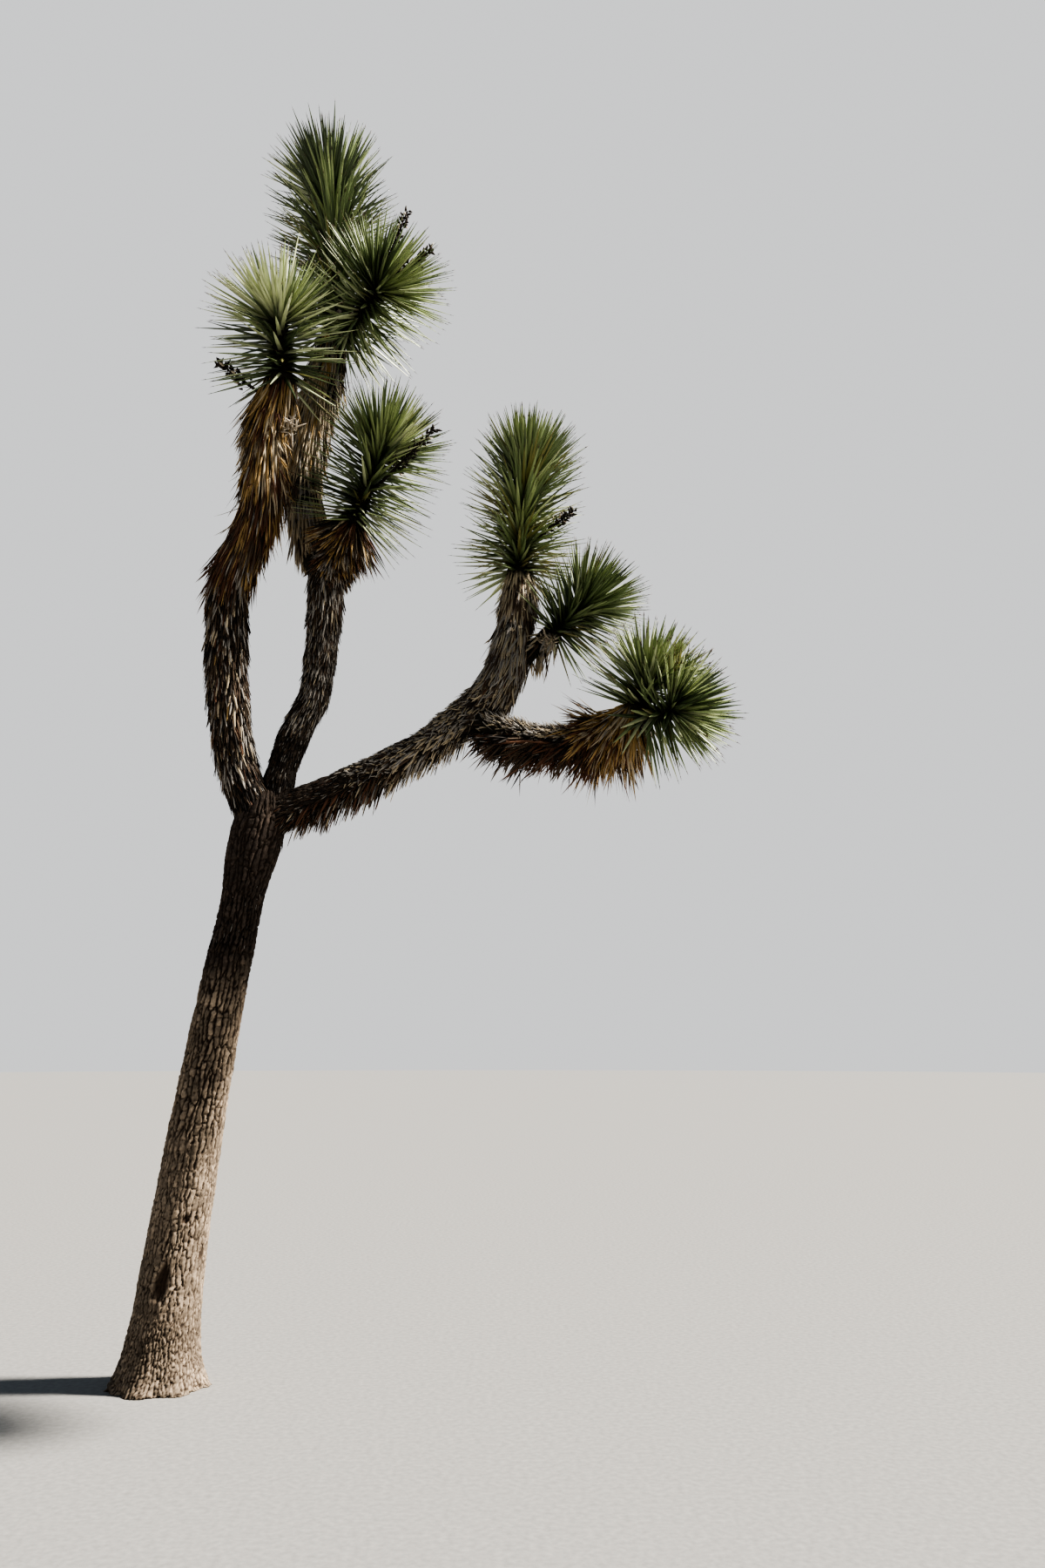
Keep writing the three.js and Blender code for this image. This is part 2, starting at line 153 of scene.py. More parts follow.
# Blocks on the boughs: height of a row and of a block, width of a crack, and how far it wanders
BOUGH_BLOCKS = (0.075, 0.036)
BOUGH_CRACK = 0.005
BOUGH_WANDER = 0.02

# Height of a plate that leaves the radius as it is, and heights between which the colour of the
# cracks gives way to that of the plates
PLATE_LEVEL = 0.9
PLATE_EDGE = (0.12, 0.85)

# Heights between which the bark's colour changes, and shades of a bough's colour on both sides
# The darker upper trunk is partly the bark's own colour and partly painted shade of the crown;
# the darker bough bark below BOUGH_CHANGE is painted shade of the crown over the fork.
TRUNK_CHANGE = (1.30, 1.60)
BOUGH_CHANGE = (2.4, 2.9)
BOUGH_SHADES = (0.5, 1.2)

# Flower stalks: where the twigs stand, how far they lean, their size, the share of them that end
# in a husk, the share of husks that are pale, the size of a husk, and the fibres of the torn wisps
TWIGS_FROM, TWIGS_OVER = 0.40, 0.58
TWIG_LEANS = (0.5, 1.1)
TWIG_LENGTHS = (0.025, 0.065)
TWIG_WIDTH = 0.0045
HUSKED = 0.7
PALE_HUSKS = 0.16
HUSK_LENGTHS = (0.018, 0.034)
HUSK_WIDTH = 0.013
WISP_WIDTH = 0.010
WISP_ROOM = 0.014
WISP_DRIFT = (-0.5, -0.3, 0.2)

# Directions that the stalks and the fibres of the wisps are turned square to
STALK_SQUARE_TO = (0.3, 0.8, 0.5)
WISP_SQUARE_TO = (0.2, 0.9, 0.4)

# Seeds of the random draws
ROSETTE_SEED = 101
SKIRT_SEED = 707
SEED_STEP = 37
THATCH_SEED = 1301
STALK_SEED = 59

# The photograph's camera, and the studio
CAMERA_PLACE = (1.427, -5.019, 1.300)
CAMERA_TILT = 12.5
CAMERA_LENS = 27.06
SENSOR_WIDTH = 36
KEY_PLACE = (11.4, 0.25, 13.8)
KEY_SPREAD = math.radians(6)
KEY_TINT = (1.0, 0.95, 0.87)
FILL_PLACE = (-6, -7, 5)
FILL_SIZE = 5.0
FILL_TINT = (0.93, 0.96, 1.0)
LIGHTS_AIM = (1.0, 0, 3.0)
SKY_TINT = (0.75, 0.86, 1.0, 1)
BACKDROP_TINT = (0.88, 0.89, 0.90, 1)
FLOOR_DROP = 0.0005

# Routes of the limbs: x, y, z and radius at each station, in millimetres
LIMB_STATIONS = {
    "left": [
        (270, 0, 2140, 92), (258, -8, 2290, 93), (180, -40, 2520, 90), (142, -80, 2785, 89),
        (131, -120, 3050, 92), (142, -150, 3310, 92), (230, -162, 3545, 92), (268, -172, 3700, 91),
        (283, -200, 4060, 90), (340, -225, 4225, 84), (342, -275, 4370, 72), (326, -322, 4515, 72),
    ],
    "middle": [
        (322, 15, 2160, 74), (345, 15, 2340, 76), (393, 20, 2560, 74), (445, 28, 2705, 73),
        (496, 30, 2815, 74), (513, 30, 2940, 75), (524, 30, 3079, 78), (532, 30, 3270, 83),
        (536, 26, 3400, 84), (588, 5, 3520, 76), (650, -20, 3632, 66), (725, -45, 3820, 66),
        (797, -60, 4010, 70),
    ],
    "leader": [
        (528, 34, 3290, 60), (502, 46, 3440, 82), (452, 65, 3590, 88), (404, 100, 3820, 88),
        (398, 120, 4055, 86), (430, 130, 4290, 84), (478, 128, 4530, 78), (508, 125, 4690, 74),
        (500, 138, 5000, 70), (480, 147, 5300, 68), (442, 152, 5600, 70),
    ],
    "inner": [(490, 126, 4590, 46), (567, 80, 4659, 58), (670, -25, 4730, 66), (780, -125, 4817, 70)],
    "right": [
        (290, 0, 2200, 84), (370, 0, 2275, 90), (520, 0, 2342, 84), (670, -10, 2408, 82),
        (990, -30, 2566, 79), (1160, -38, 2690, 88), (1275, -20, 2802, 95), (1337, 20, 2916, 95),
        (1380, 80, 3100, 92), (1408, 130, 3310, 82), (1411, 150, 3447, 72), (1420, 170, 3740, 68),
        (1456, 190, 4055, 68),
    ],
    "low": [
        (1190, -30, 2730, 66), (1290, -62, 2650, 76), (1430, -122, 2585, 77), (1575, -200, 2549, 75),
        (1717, -280, 2551, 72), (1825, -350, 2580, 68), (1895, -388, 2632, 64), (1950, -405, 2755, 66),
    ],
    "end": [(1830, -350, 2595, 40), (1961, -440, 2603, 58), (2062, -500, 2618, 64)],
    "side": [
        (1370, 66, 2990, 38), (1440, 66, 3020, 44), (1500, 76, 3078, 44), (1562, 85, 3132, 56),
        (1650, 76, 3208, 62), (1730, 62, 3283, 62),
    ],
}

# The masses, on the same stretches of the limbs as in the solids. "open" are the angles of the
# leaves off the direction of growth at the foot, under the tip and at the very tip, "column" the
# share of them that stands under the tip, "long" their length at the foot and at the tip, "reach"
# the radius of the mass's space, and "notch" a place in the column where they are short. "tints"
# are shares of each kind's colours at the foot and the tip, in the order of DEAD_COLOURS or
# LIVE_COLOURS, and "late" keeps the tip's colours nearer the tip. "density" and "wide" are the
# number and width of the leaves against the usual ones, "shoots" the share of young leaves that
# stand above the rest, and "droop" how strongly all turn down. Of the dead leaves, "strays" is the
# share that stand off, "hang" how strongly those of an upright stem turn down, "spread" how far
# they point astray, "trim" how much shorter they are at the foot, "ragged" how uneven their sprays
# are, "spikes" the share that stand out as separate long ones, and "bare" says that the upper side
# has lost them. USUAL_MASS is what a mass has where it says nothing else.
# The tints also paint light and shade in part: deep leaves and dark dead leaves stand partly
# where shade falls, and lighter and pale leaves partly where sunlight falls.
USUAL_MASS = dict(
    clear_of=(), column=1, density=1, wide=1, late=1, notch=0, shoots=0, droop=0, hang=0.8,
    spread=0.06, trim=0, ragged=0.12, spikes=1, bare=False)
MASSES = {
    "skirt_left_lower": dict(
        limb="left", span=(5, 7), leaves=24, open=(168, 172, 172), long=(210, 230),
        reach=160, strays=0.03, tints=((14, 5, 38, 29, 10, 4), (22, 5, 38, 26, 5, 4))),
    "skirt_left_upper": dict(
        limb="left", span=(7, 9), leaves=34, open=(171, 163, 163), long=(230, 260),
        reach=190, strays=0.08, tints=((27, 8, 29, 26, 4, 6), (42, 34, 4, 12, 0, 8))),
    "rosette_left": dict(
        limb="left", span=(9, 11), leaves=62, open=(128, 75, 5), column=0.45, long=(285, 300),
        reach=320, density=0.66, wide=1.2, shoots=0.1, tints=((50, 26, 8, 8, 8), (2, 10, 24, 64, 0))),
    "skirt_low": dict(
        limb="middle", span=(8, 10), leaves=26, open=(150, 125, 125), long=(180, 240),
        reach=280, strays=0.05, hang=0.25, trim=0.5,
        tints=((5, 5, 10, 35, 30, 15), (30, 10, 20, 30, 0, 10))),
    "rosette_low": dict(
        limb="middle", span=(10, 12), leaves=60, open=(120, 75, 5), column=0.45, long=(285, 295),
        reach=320, tints=((10, 25, 30, 25, 10), (18, 50, 29, 2, 1))),
    "skirt_leader_lower": dict(
        limb="leader", span=(0, 4), clear_of=("middle", "skirt_low"), leaves=22,
        open=(170, 172, 172), long=(200, 220), reach=150, strays=0.03,
        tints=((4, 58, 4, 10, 24, 0), (4, 76, 0, 0, 20, 0))),
    "skirt_leader_upper": dict(
        limb="leader", span=(4, 7), leaves=26, open=(171, 164, 164), long=(220, 260),
        reach=170, strays=0.05, late=5, tints=((14, 66, 0, 0, 20, 0), (10, 24, 0, 26, 0, 40))),
    "rosette_top": dict(
        limb="leader", span=(7, 10), leaves=104, open=(105, 52, 5), column=0.66, long=(285, 335),
        reach=330, notch=0.36, shoots=0.1, tints=((50, 35, 5, 0, 10), (25, 50, 20, 5, 0))),
    "rosette_inner": dict(
        limb="inner", span=(0, 3), clear_of=("skirt_leader_upper", "rosette_top"), leaves=64,
        open=(130, 75, 5), column=0.45, long=(315, 320), reach=340,
        tints=((12, 14, 38, 28, 8), (4, 44, 40, 12, 0))),
    "skirt_tall": dict(
        limb="right", span=(8, 10), leaves=20, open=(170, 163, 163), long=(170, 190),
        reach=160, strays=0.05, late=4, tints=((0, 30, 4, 26, 38, 2), (0, 92, 0, 0, 8, 0))),
    "rosette_tall": dict(
        limb="right", span=(10, 12), leaves=84, open=(118, 50, 5), column=0.6, long=(260, 290),
        reach=290, notch=0.4, tints=((4, 20, 34, 6, 36), (8, 44, 38, 10, 0))),
    "skirt_right": dict(
        limb="low", span=(0, 4), clear_of=("right",), leaves=40, open=(150, 150, 150),
        long=(200, 220), reach=240, droop=0.5, strays=0, spread=0.42, wide=0.95, density=1.1,
        spikes=0.34, bare=True, ragged=0.5,
        tints=((0, 0, 10, 46, 8, 36), (0, 0, 56, 28, 0, 16))),
    "skirt_end": dict(
        limb="low", span=(4, 6), leaves=36, open=(130, 110, 110), long=(260, 290),
        reach=310, droop=0.9, strays=0.08, spread=0.35, wide=1.1, density=0.95, spikes=0.42,
        ragged=0.3, late=1.2, tints=((14, 2, 58, 16, 0, 10), (48, 48, 0, 0, 2, 2))),
    "rosette_far": dict(
        limb="low", span=(6, 7), leaves=44, open=(105, 70, 5), column=0.3, long=(245, 255),
        reach=270, density=0.84, wide=1.12, tints=((12, 38, 30, 10, 10), (4, 34, 44, 18, 0))),
    "rosette_end": dict(
        limb="end", span=(0, 2), clear_of=("skirt_end", "rosette_far"), leaves=54,
        open=(125, 75, 5), column=0.4, long=(250, 245), reach=270, density=0.84, wide=1.12,
        tints=((22, 25, 28, 17, 8), (8, 48, 34, 10, 0))),
    "skirt_side": dict(
        limb="side", span=(0, 3), clear_of=("right", "skirt_tall"), leaves=14,
        open=(150, 140, 140), long=(140, 180), reach=160, strays=0.02, density=0.24,
        spread=0.28, wide=1.2, tints=((0, 62, 0, 6, 28, 4), (0, 70, 0, 10, 12, 8))),
    "rosette_side": dict(
        limb="side", span=(3, 5), leaves=50, open=(110, 58, 5), column=0.45, long=(250, 270),
        reach=270, tints=((12, 34, 20, 2, 32), (4, 46, 38, 12, 0))),
}
MASSES = {name: {**USUAL_MASS, **mass} for name, mass in MASSES.items()}
ROSETTES = [name for name in MASSES if name.startswith("rosette")]
SKIRTS = [name for name in MASSES if name.startswith("skirt")]

# Bare boughs: their stretch of a limb, the solids that they replace, and how many columns of
# plates go round them
BOUGHS = {
    "left": dict(span=(0, 5), nodes=("bough_left_lower", "bough_left_upper"), columns=30),
    "middle": dict(span=(0, 8), nodes=("bough_middle_lower", "bough_middle_upper"), columns=32),
    "right": dict(span=(0, 8), nodes=("bough_right", "bough_right_upper"), columns=32),
}

# Dead leaf remnants that lie on the bark, zone by zone. "part" is the share of the limb's stretch,
# "count" how many lie on a square metre, "long" their shortest and longest length, "shag" how many
# degrees they stand off, "hang" how strongly those below turn down, "top" and "under" the shares
# of them that the upper and under side keep, "edge" how far up the under side goes, "seat" how deep
# they are rooted, "ragged" how uneven their sprays are, "tousle" how far they point astray,
# "broad" how much wider than usual they are, and "tints" the shares of DEAD_COLOURS. USUAL_ZONE is
# what a zone has where it says nothing else.
USUAL_ZONE = dict(
    hang=0, top=1, under=1, edge=0.12, seat=0.87, ragged=0.2, tousle=0.13, broad=1)
# The dark remnants on the top of the trunk and at the feet of the boughs are partly painted
# shade of the crown.
THATCH = [
    dict(limb="trunk", part=(0.72, 0.99), count=9500, long=(22, 55), shag=5,
         seat=0.99, tints=(0, 0, 0, 32, 8, 60)),
    dict(limb="trunk", part=(0.83, 1), count=9000, long=(30, 75), shag=7,
         seat=0.96, tints=(0, 0, 4, 28, 4, 64)),
    dict(limb="left", part=(0, 0.3), count=9000, long=(35, 90), shag=6, hang=0.1,
         tints=(0, 1, 3, 34, 9, 53)),
    dict(limb="left", part=(0.25, 1), count=7800, long=(45, 115), shag=8, hang=0.1,
         broad=1.15, tints=(1, 8, 6, 37, 17, 31)),
    dict(limb="middle", part=(0, 0.42), count=12000, long=(16, 38), shag=7,
         tints=(0, 0, 0, 26, 10, 64)),
    dict(limb="middle", part=(0.38, 0.82), count=12000, long=(26, 65), shag=7, hang=0.1,
         tints=(0, 4, 0, 28, 36, 32)),
    dict(limb="middle", part=(0.78, 1), count=11000, long=(40, 100), shag=6, hang=0.1,
         tints=(0, 5, 3, 33, 34, 25)),
    dict(limb="right", part=(0.09, 0.44), count=3800, long=(45, 105), shag=8, hang=1.7, top=0,
         edge=-0.3, broad=1.4, ragged=0.5, tints=(0, 4, 26, 46, 16, 8)),
    dict(limb="right", part=(0.02, 0.44), count=7000, long=(18, 40), shag=4, hang=0.1,
         tints=(0, 0, 8, 56, 6, 30)),
    dict(limb="right", part=(0.27, 0.68), count=5200, long=(16, 38), shag=12,
         under=0.6, broad=1.6, tousle=0.65, tints=(0, 24, 0, 6, 60, 10)),
    dict(limb="right", part=(0.38, 0.68), count=3000, long=(35, 95), shag=9, hang=1.0, top=0.08,
         broad=1.3, ragged=0.4, tousle=0.24, tints=(0, 44, 0, 16, 32, 8)),
    dict(limb="right", part=(0.57, 0.84), count=5000, long=(20, 58), shag=13, hang=0.2,
         broad=1.5, tousle=0.42, tints=(0, 44, 0, 0, 54, 2)),
    dict(limb="right", part=(0.78, 1), count=10000, long=(80, 180), shag=4, hang=0.1,
         tints=(0, 28, 4, 28, 38, 2)),
    dict(limb="skirt_right", part=(0.12, 1), count=7500, long=(18, 55), shag=24,
         under=0.15, broad=1.3, tousle=0.4, tints=(0, 36, 0, 12, 48, 4)),
]
THATCH = [{**USUAL_ZONE, **zone} for zone in THATCH]

# The dried flower stalks: the mass each stands in, how far up its stem, and its far end
STALKS = [
    ("skirt_left_upper", 0.8, (58, -270, 4290)),
    ("rosette_inner", 0.8, (872, -40, 5260)),
    ("rosette_inner", 0.75, (1005, -150, 4962)),
    ("rosette_low", 0.25, (1042, -230, 3990)),
    ("rosette_tall", 0.2, (1673, 112, 3758)),
]

# Torn, bleached wisps that hang on the left skirt and under the side rosette: place, number of
# fibres and the longest one
WISPS = [((0.385, -0.235, 3.985), 26, 0.10), ((1.552, 0.03, 3.072), 34, 0.07)]

# Marks on the trunk: height, direction round the trunk in degrees, half height and half width
SCARS = [(0.405, -92, 0.085, 0.034), (0.632, -66, 0.022, 0.014), (0.497, -19, 0.035, 0.010)]

LIVE_COLOURS = ("deep", "green", "bright", "pale", "olive")
DEAD_COLOURS = ("gold", "straw", "rust", "brown", "grey", "dark")


def colour(name, default, description):
    return FloatVectorProperty(
        name=name, description=description, default=default, subtype="COLOR", size=3, min=0, max=1)


def length(name, default, description):
    return FloatProperty(
        name=name, description=description, default=default, min=0, unit="LENGTH")


class BarkSettings(bpy.types.PropertyGroup):
    """Sizes and colours of the bark on the trunk and boughs"""

    plate_width: length("Plate Width", 0.0145, "Width of one cork plate on the trunk")
    plate_height: length("Plate Height", 0.034, "Height of one cork plate on the trunk")
    crack_depth: length("Crack Depth", 0.0090, "Depth of the cracks between the plates")
    fibre_depth: length("Fibre Depth", 0.009, "Depth of the shaggy relief on the boughs")
    foot: colour("Foot", (0.285, 0.222, 0.162), "Plates on the lower trunk")
    # Darker partly by its own colour and partly as painted shade of the crown
    upper: colour("Upper", (0.070, 0.052, 0.041), "Plates on the upper trunk")
    bough: colour("Bough", (0.070, 0.052, 0.040), "Bark of the boughs")
    crack: colour("Crack", (0.022, 0.014, 0.009), "Cracks and old scars")


class LeafSettings(bpy.types.PropertyGroup):
    """Number, size and colours of the living leaves"""

    multiple: IntProperty(
        name="Leaves", description="Leaves grown for each leaf of the solids", default=8, min=1)
    width: length("Width", 0.0163, "Width of a leaf")
    # Dealt mostly to the feet of the rosettes: a darker leaf colour, partly painted shade in the cores
    deep: colour("Deep", (0.074, 0.100, 0.048), "Leaves in the depth of a rosette")
    green: colour("Green", (0.168, 0.218, 0.098), "Most leaves")
    # A lighter yellow-green, dealt partly where sunlight falls on the heads as painted light
    bright: colour("Bright", (0.320, 0.380, 0.182), "Younger leaves")
    # Dealt partly where sunlight falls on the heads, as painted light
    pale: colour("Pale", (0.60, 0.65, 0.40), "Bleached leaves")
    olive: colour("Olive", (0.220, 0.212, 0.078), "Leaves that have begun to yellow")
    spine: colour("Spine", (0.085, 0.05, 0.028), "Hard spine at a leaf's tip")


class DeadLeafSettings(bpy.types.PropertyGroup):
    """Number, size and colours of the dead leaves"""

    multiple: IntProperty(
        name="Dead Leaves", description="Dead leaves grown for each leaf of the solids",
        default=46, min=1)
    width: length("Width", 0.0122, "Width of a dead leaf")
    gold: colour("Gold", (0.42, 0.280, 0.120), "Golden dead leaves")
    straw: colour("Straw", (0.50, 0.415, 0.290), "Straw-coloured dead leaves")
    rust: colour("Rust", (0.132, 0.062, 0.034), "Rusty dead leaves")
    brown: colour("Brown", (0.100, 0.068, 0.044), "Brown dead leaves")
    grey: colour("Grey", (0.37, 0.338, 0.300), "Weathered grey dead leaves")
    # Dealt partly where shade falls on the fork, as painted shade
    dark: colour("Dark", (0.022, 0.016, 0.012), "Nearly black dead leaves")


class StalkSettings(bpy.types.PropertyGroup):
    """Size and colours of the dried flower stalks and of the stems inside the leaves"""

    thickness: length("Thickness", 0.019, "Thickness of a flower stalk at its foot")
    twigs: IntProperty(name="Twigs", description="Short twigs on a stalk", default=70, min=1)
    stalk: colour("Stalk", (0.030, 0.022, 0.017), "Dried stalks and twigs")
    husk: colour("Husk", (0.50, 0.43, 0.34), "Open husks of the fruit")
    # Nearly black: painted shade in the cores of the masses
    stem: colour("Stem", (0.022, 0.018, 0.011), "Stems inside the leaves")


class StageSettings(bpy.types.PropertyGroup):
    """Floor and lights of the studio"""

    floor: colour("Floor", (0.27, 0.264, 0.254), "Floor")
    floor_radius: length("Floor Radius", 60, "Radius of the round floor")
    key: FloatProperty(
        name="Key", description="Strength of the broad light from the right", default=11.2, min=0)
    fill_power: FloatProperty(
        name="Fill", description="Power of the soft light from the left", default=14,
        min=0, unit="POWER")
    sky_light: FloatProperty(
        name="Sky Light", description="Strength of the soft light from all round", default=0.24,
        min=0)
    backdrop: FloatProperty(
        name="Backdrop", description="Brightness of the backdrop in the picture", default=0.75,
        min=0)


# Numbers


def smoothstep(x, low, high):
    t = np.clip((x - low) / (high - low), 0, 1)
    return t * t * (3 - 2 * t)


def unit(vectors):
    return vectors / np.linalg.norm(vectors, axis=-1, keepdims=True)


def turned(first, second, angle):
    """Directions from the first towards the second by an angle."""
    return first * np.cos(angle)[:, None] + second * np.sin(angle)[:, None]


def fractal(points, scale, octaves=3):
    """Soft noise from about -1 to 1 at each point."""
    return np.array([noise.fractal(p, 0.8, 2.1, octaves) for p in (points * scale).tolist()])


def trunk_centre(z):
    return TRUNK_LEAN * np.power(np.maximum(z, 0) / TRUNK_HEIGHT, TRUNK_LEAN_POWER)


def trunk_radius(z):
    swell = SWELL_RADIUS * smoothstep(z, SWELL_FROM, DOME_FROM)
    dome = np.clip((z - DOME_FROM) / DOME_HEIGHT, 0, 1)
    flare = FLARE_RADIUS * np.exp(-z / FLARE_HEIGHT)
    return (TRUNK_RADIUS - TRUNK_TAPER * z + flare + swell) * np.sqrt(1 - dome * dome)


class Limb:
    """A smooth route through stations, each a point and the radius there."""

    def __init__(self, stations):
        table = np.array(stations, float) * MM
        points, self.radii = table[:, :3], table[:, 3]
        points = np.vstack([2 * points[0] - points[1], points, 2 * points[-1] - points[-2]])
        steps = np.sqrt(np.linalg.norm(np.diff(points, axis=0), axis=1))
        weight = np.arange(DIVISIONS)[:, None] / DIVISIONS
        line = []
        for i in range(1, len(points) - 2):
            a, b, c, d = points[i - 1:i + 3]
            before, here, after = steps[i - 1:i + 2]
            into = (b - a) / before - (c - a) / (before + here) + (c - b) / here
            out = (c - b) / here - (d - b) / (here + after) + (d - c) / after
            into, out = into * here, out * here
            line.append(
                b + into * weight + (3 * (c - b) - 2 * into - out) * weight**2
                + (2 * (b - c) + into + out) * weight**3)
        self.line = np.vstack([*line, points[-2]])
        gaps = np.linalg.norm(np.diff(self.line, axis=0), axis=1)
        self.marks = np.concatenate([[0], np.cumsum(gaps)])
        self.tangents = unit(np.gradient(self.line, self.marks, axis=0))

    def mark(self, station):
        """How far along the limb a station is."""
        return self.marks[DIVISIONS * station]

    def radius(self, along):
        place = np.interp(along, self.marks, np.linspace(0, len(self.radii) - 1, len(self.marks)))
        knuckle = 1 + KNUCKLES * np.sin(2 * math.pi * along / KNUCKLE_LENGTH)
        knuckle += UNEVENNESS * np.sin(along * 41 + self.radii[0] * 900) * np.sin(along * 23)
        return np.interp(place, np.arange(len(self.radii)), self.radii) * knuckle

    def frames(self, along):
        """Points on the middle line, the directions of growth, and two directions across."""
        point = np.stack([np.interp(along, self.marks, k) for k in self.line.T], -1)
        axis = unit(np.stack([np.interp(along, self.marks, k) for k in self.tangents.T], -1))
        side = unit(np.cross(axis, [0.0, 1.0, 0.0]))
        return point, axis, side, np.cross(side, axis)


LIMBS = {name: Limb(stations) for name, stations in LIMB_STATIONS.items()}


class Stretch:
    """A piece of a limb, with sample points that stand for its stem."""

    def __init__(self, limb, span):
        self.limb_name, self.limb = limb, LIMBS[limb]
        self.start, self.end = self.limb.mark(span[0]), self.limb.mark(span[1])
        self.free = span[1] == len(self.limb.radii) - 1
        count = math.ceil((self.end - self.start) / SAMPLE_STEP) + 1
        shares = np.linspace(0, 1, count)
        self.points = self.limb.frames(self.along(shares))[0]
        self.sizes = self.stem_radius(shares)

    def along(self, share):
        return self.start + (self.end - self.start) * share

    def ray(self, share, angle):
        """Points on the middle line, the directions of growth, and those outwards at an angle."""
        point, axis, side, front = self.limb.frames(self.along(share))
        return point, axis, turned(side, front, angle)

    def stem_radius(self, share):
        taper = np.sqrt(1 - TIP_ROUNDING * share**TIP_BLUNTNESS) if self.free else 1
        return self.limb.radius(self.along(share)) * taper

    def distance(self, probes):
        """How far the probes are from the middle line."""
        return self.gaps(probes).min(1)

    def depth(self, probes):
        """How far the probes are inside the stem, negative outside."""
        return (self.sizes - self.gaps(probes)).max(1)

    def gaps(self, probes):
        return np.linalg.norm(probes[:, None] - self.points[None], axis=2)

    def keep_outside(self, other):
        outside = other.depth(self.points) < 0
        self.points, self.sizes = self.points[outside], self.sizes[outside]


TRUNK_STATIONS = [
    (trunk_centre(z) / MM, 0, z / MM, trunk_radius(z) / MM)
    for z in np.linspace(0, TRUNK_HEIGHT - 0.08, 13)
]
LIMBS["trunk"] = Limb(TRUNK_STATIONS)
STRETCHES = {
    "trunk": Stretch("trunk", (0, len(TRUNK_STATIONS) - 1)),
    **{name: Stretch(name, bough["span"]) for name, bough in BOUGHS.items()},
    **{name: Stretch(mass["limb"], mass["span"]) for name, mass in MASSES.items()},
}
for mass_name, mass in MASSES.items():
    for parent in mass["clear_of"]:
        STRETCHES[mass_name].keep_outside(STRETCHES[parent])


# Leaves


# The columns of a table of blades, which has one row each
ROOT, DIRECTION, ACROSS = slice(0, 3), slice(3, 6), slice(6, 9)
LENGTH, WIDTH, BOW, TWIST = 9, 10, 11, 12

# Cross-sections, counter-clockwise, as shares of width and thickness
CHANNELLED = np.array([(0.5, 0.25), (0, -0.12), (-0.5, 0.25), (0, -0.75)])
CREASED = np.array([(0.5, 0.2), (-0.5, 0.2), (0, -0.8)])
ROUND = np.array([(math.cos(a) / 2, math.sin(a) / 2) for a in np.arange(5) * math.tau / 5])

# Kinds of blade: a cross-section, an outline as shares of length and the width there, and the
# thickness against the width
LIVE_OUTLINE = [(0, 1.3), (0.1, 1.0), (0.42, 0.88), (0.78, 0.46), (0.95, 0.13)]
LIVE_LEAF = (CHANNELLED, LIVE_OUTLINE, 0.42)
SPINE = (CREASED, [(0, 1)], 0.8)
DEAD_LEAF = (CREASED, [(0, 1.25), (0.3, 1.0), (0.72, 0.66)], 0.2)
REMNANT = (CREASED, [(0, 1.0), (0.5, 1.0), (0.9, 0.55)], 0.25)
TWIG = (ROUND, [(0, 1.0), (0.33, 0.8), (0.7, 0.55)], 1.0)
HUSK = (CREASED, [(0, 0.35), (0.25, 1.0), (0.65, 0.85)], 0.5)

# Where a spine begins, and its width there against that of its leaf
SPINE_FROM, SPINE_WIDTH = LIVE_OUTLINE[-1][0], LIVE_OUTLINE[-1][1] * 1.25


def blade_mesh(blades, section, outline, thickness):
    """Points, triangles and lengthwise coordinates of all the blades of a table."""
    count, sides = len(blades), len(section)
    root, direction, across = blades[:, ROOT], blades[:, DIRECTION], blades[:, ACROSS]
    long, wide, bow, twist = (blades[:, k, None] for k in (LENGTH, WIDTH, BOW, TWIST))
    keel = np.cross(across, direction)
    rings, marks = [], []

    def middle(share):
        return root + direction * long * share + keel * long * bow * share * share

    for share, size in outline:
        turn = twist * share
        flat = across * np.cos(turn) + keel * np.sin(turn)
        up = keel * np.cos(turn) - across * np.sin(turn)
        for k, (x, y) in enumerate(section):
            rings.append(middle(share) + wide * size * (flat * x + up * y * thickness))
            marks.append(np.stack([np.full(count, k / sides), blades[:, LENGTH] * share], 1))
    rings.append(middle(1.0))
    marks.append(np.stack([np.full(count, 0.5), blades[:, LENGTH]], 1))
    faces = [(0, k, k + 1) for k in range(1, sides - 1)]
    for ring in range(len(outline) - 1):
        for k in range(sides):
            a, b = ring * sides + k, ring * sides + (k + 1) % sides
            faces += [(a, a + sides, b + sides), (a, b + sides, b)]
    last, tip = (len(outline) - 1) * sides, len(outline) * sides
    faces += [(last + k, tip, last + (k + 1) % sides) for k in range(sides)]
    points = np.stack(rings, 1).reshape(-1, 3)
    starts = (np.arange(count) * (tip + 1))[:, None, None]
    triangles = (np.array(faces)[None] + starts).reshape(-1, 3)
    return points, triangles, np.stack(marks, 1).reshape(-1, 2)


def blade(root, direction, square_to, long, wide, bow=0.0, twist=0.0):
    """One row of a table of blades, which lies square to a direction."""
    return [*root, *direction, *unit(np.cross(direction, square_to)), long, wide, bow, twist]


def spine_table(blades):
    """The hard spines that carry on from the ends of the living leaves."""
    spines = blades.copy()
    keel = np.cross(blades[:, ACROSS], blades[:, DIRECTION])
    long, bow = blades[:, LENGTH, None], blades[:, BOW, None]
    spines[:, ROOT] += long * (
        blades[:, DIRECTION] * SPINE_FROM + keel * bow * SPINE_FROM**2)
    spines[:, DIRECTION] = unit(blades[:, DIRECTION] + keel * bow * 2 * SPINE_FROM)
    across = turned(blades[:, ACROSS], keel, blades[:, TWIST])
    spines[:, ACROSS] = unit(np.cross(
        spines[:, DIRECTION], np.cross(across, spines[:, DIRECTION])))
    spines[:, LENGTH] = SPINE_LENGTH
    spines[:, WIDTH] *= SPINE_WIDTH
    spines[:, BOW] = spines[:, TWIST] = 0
    return spines


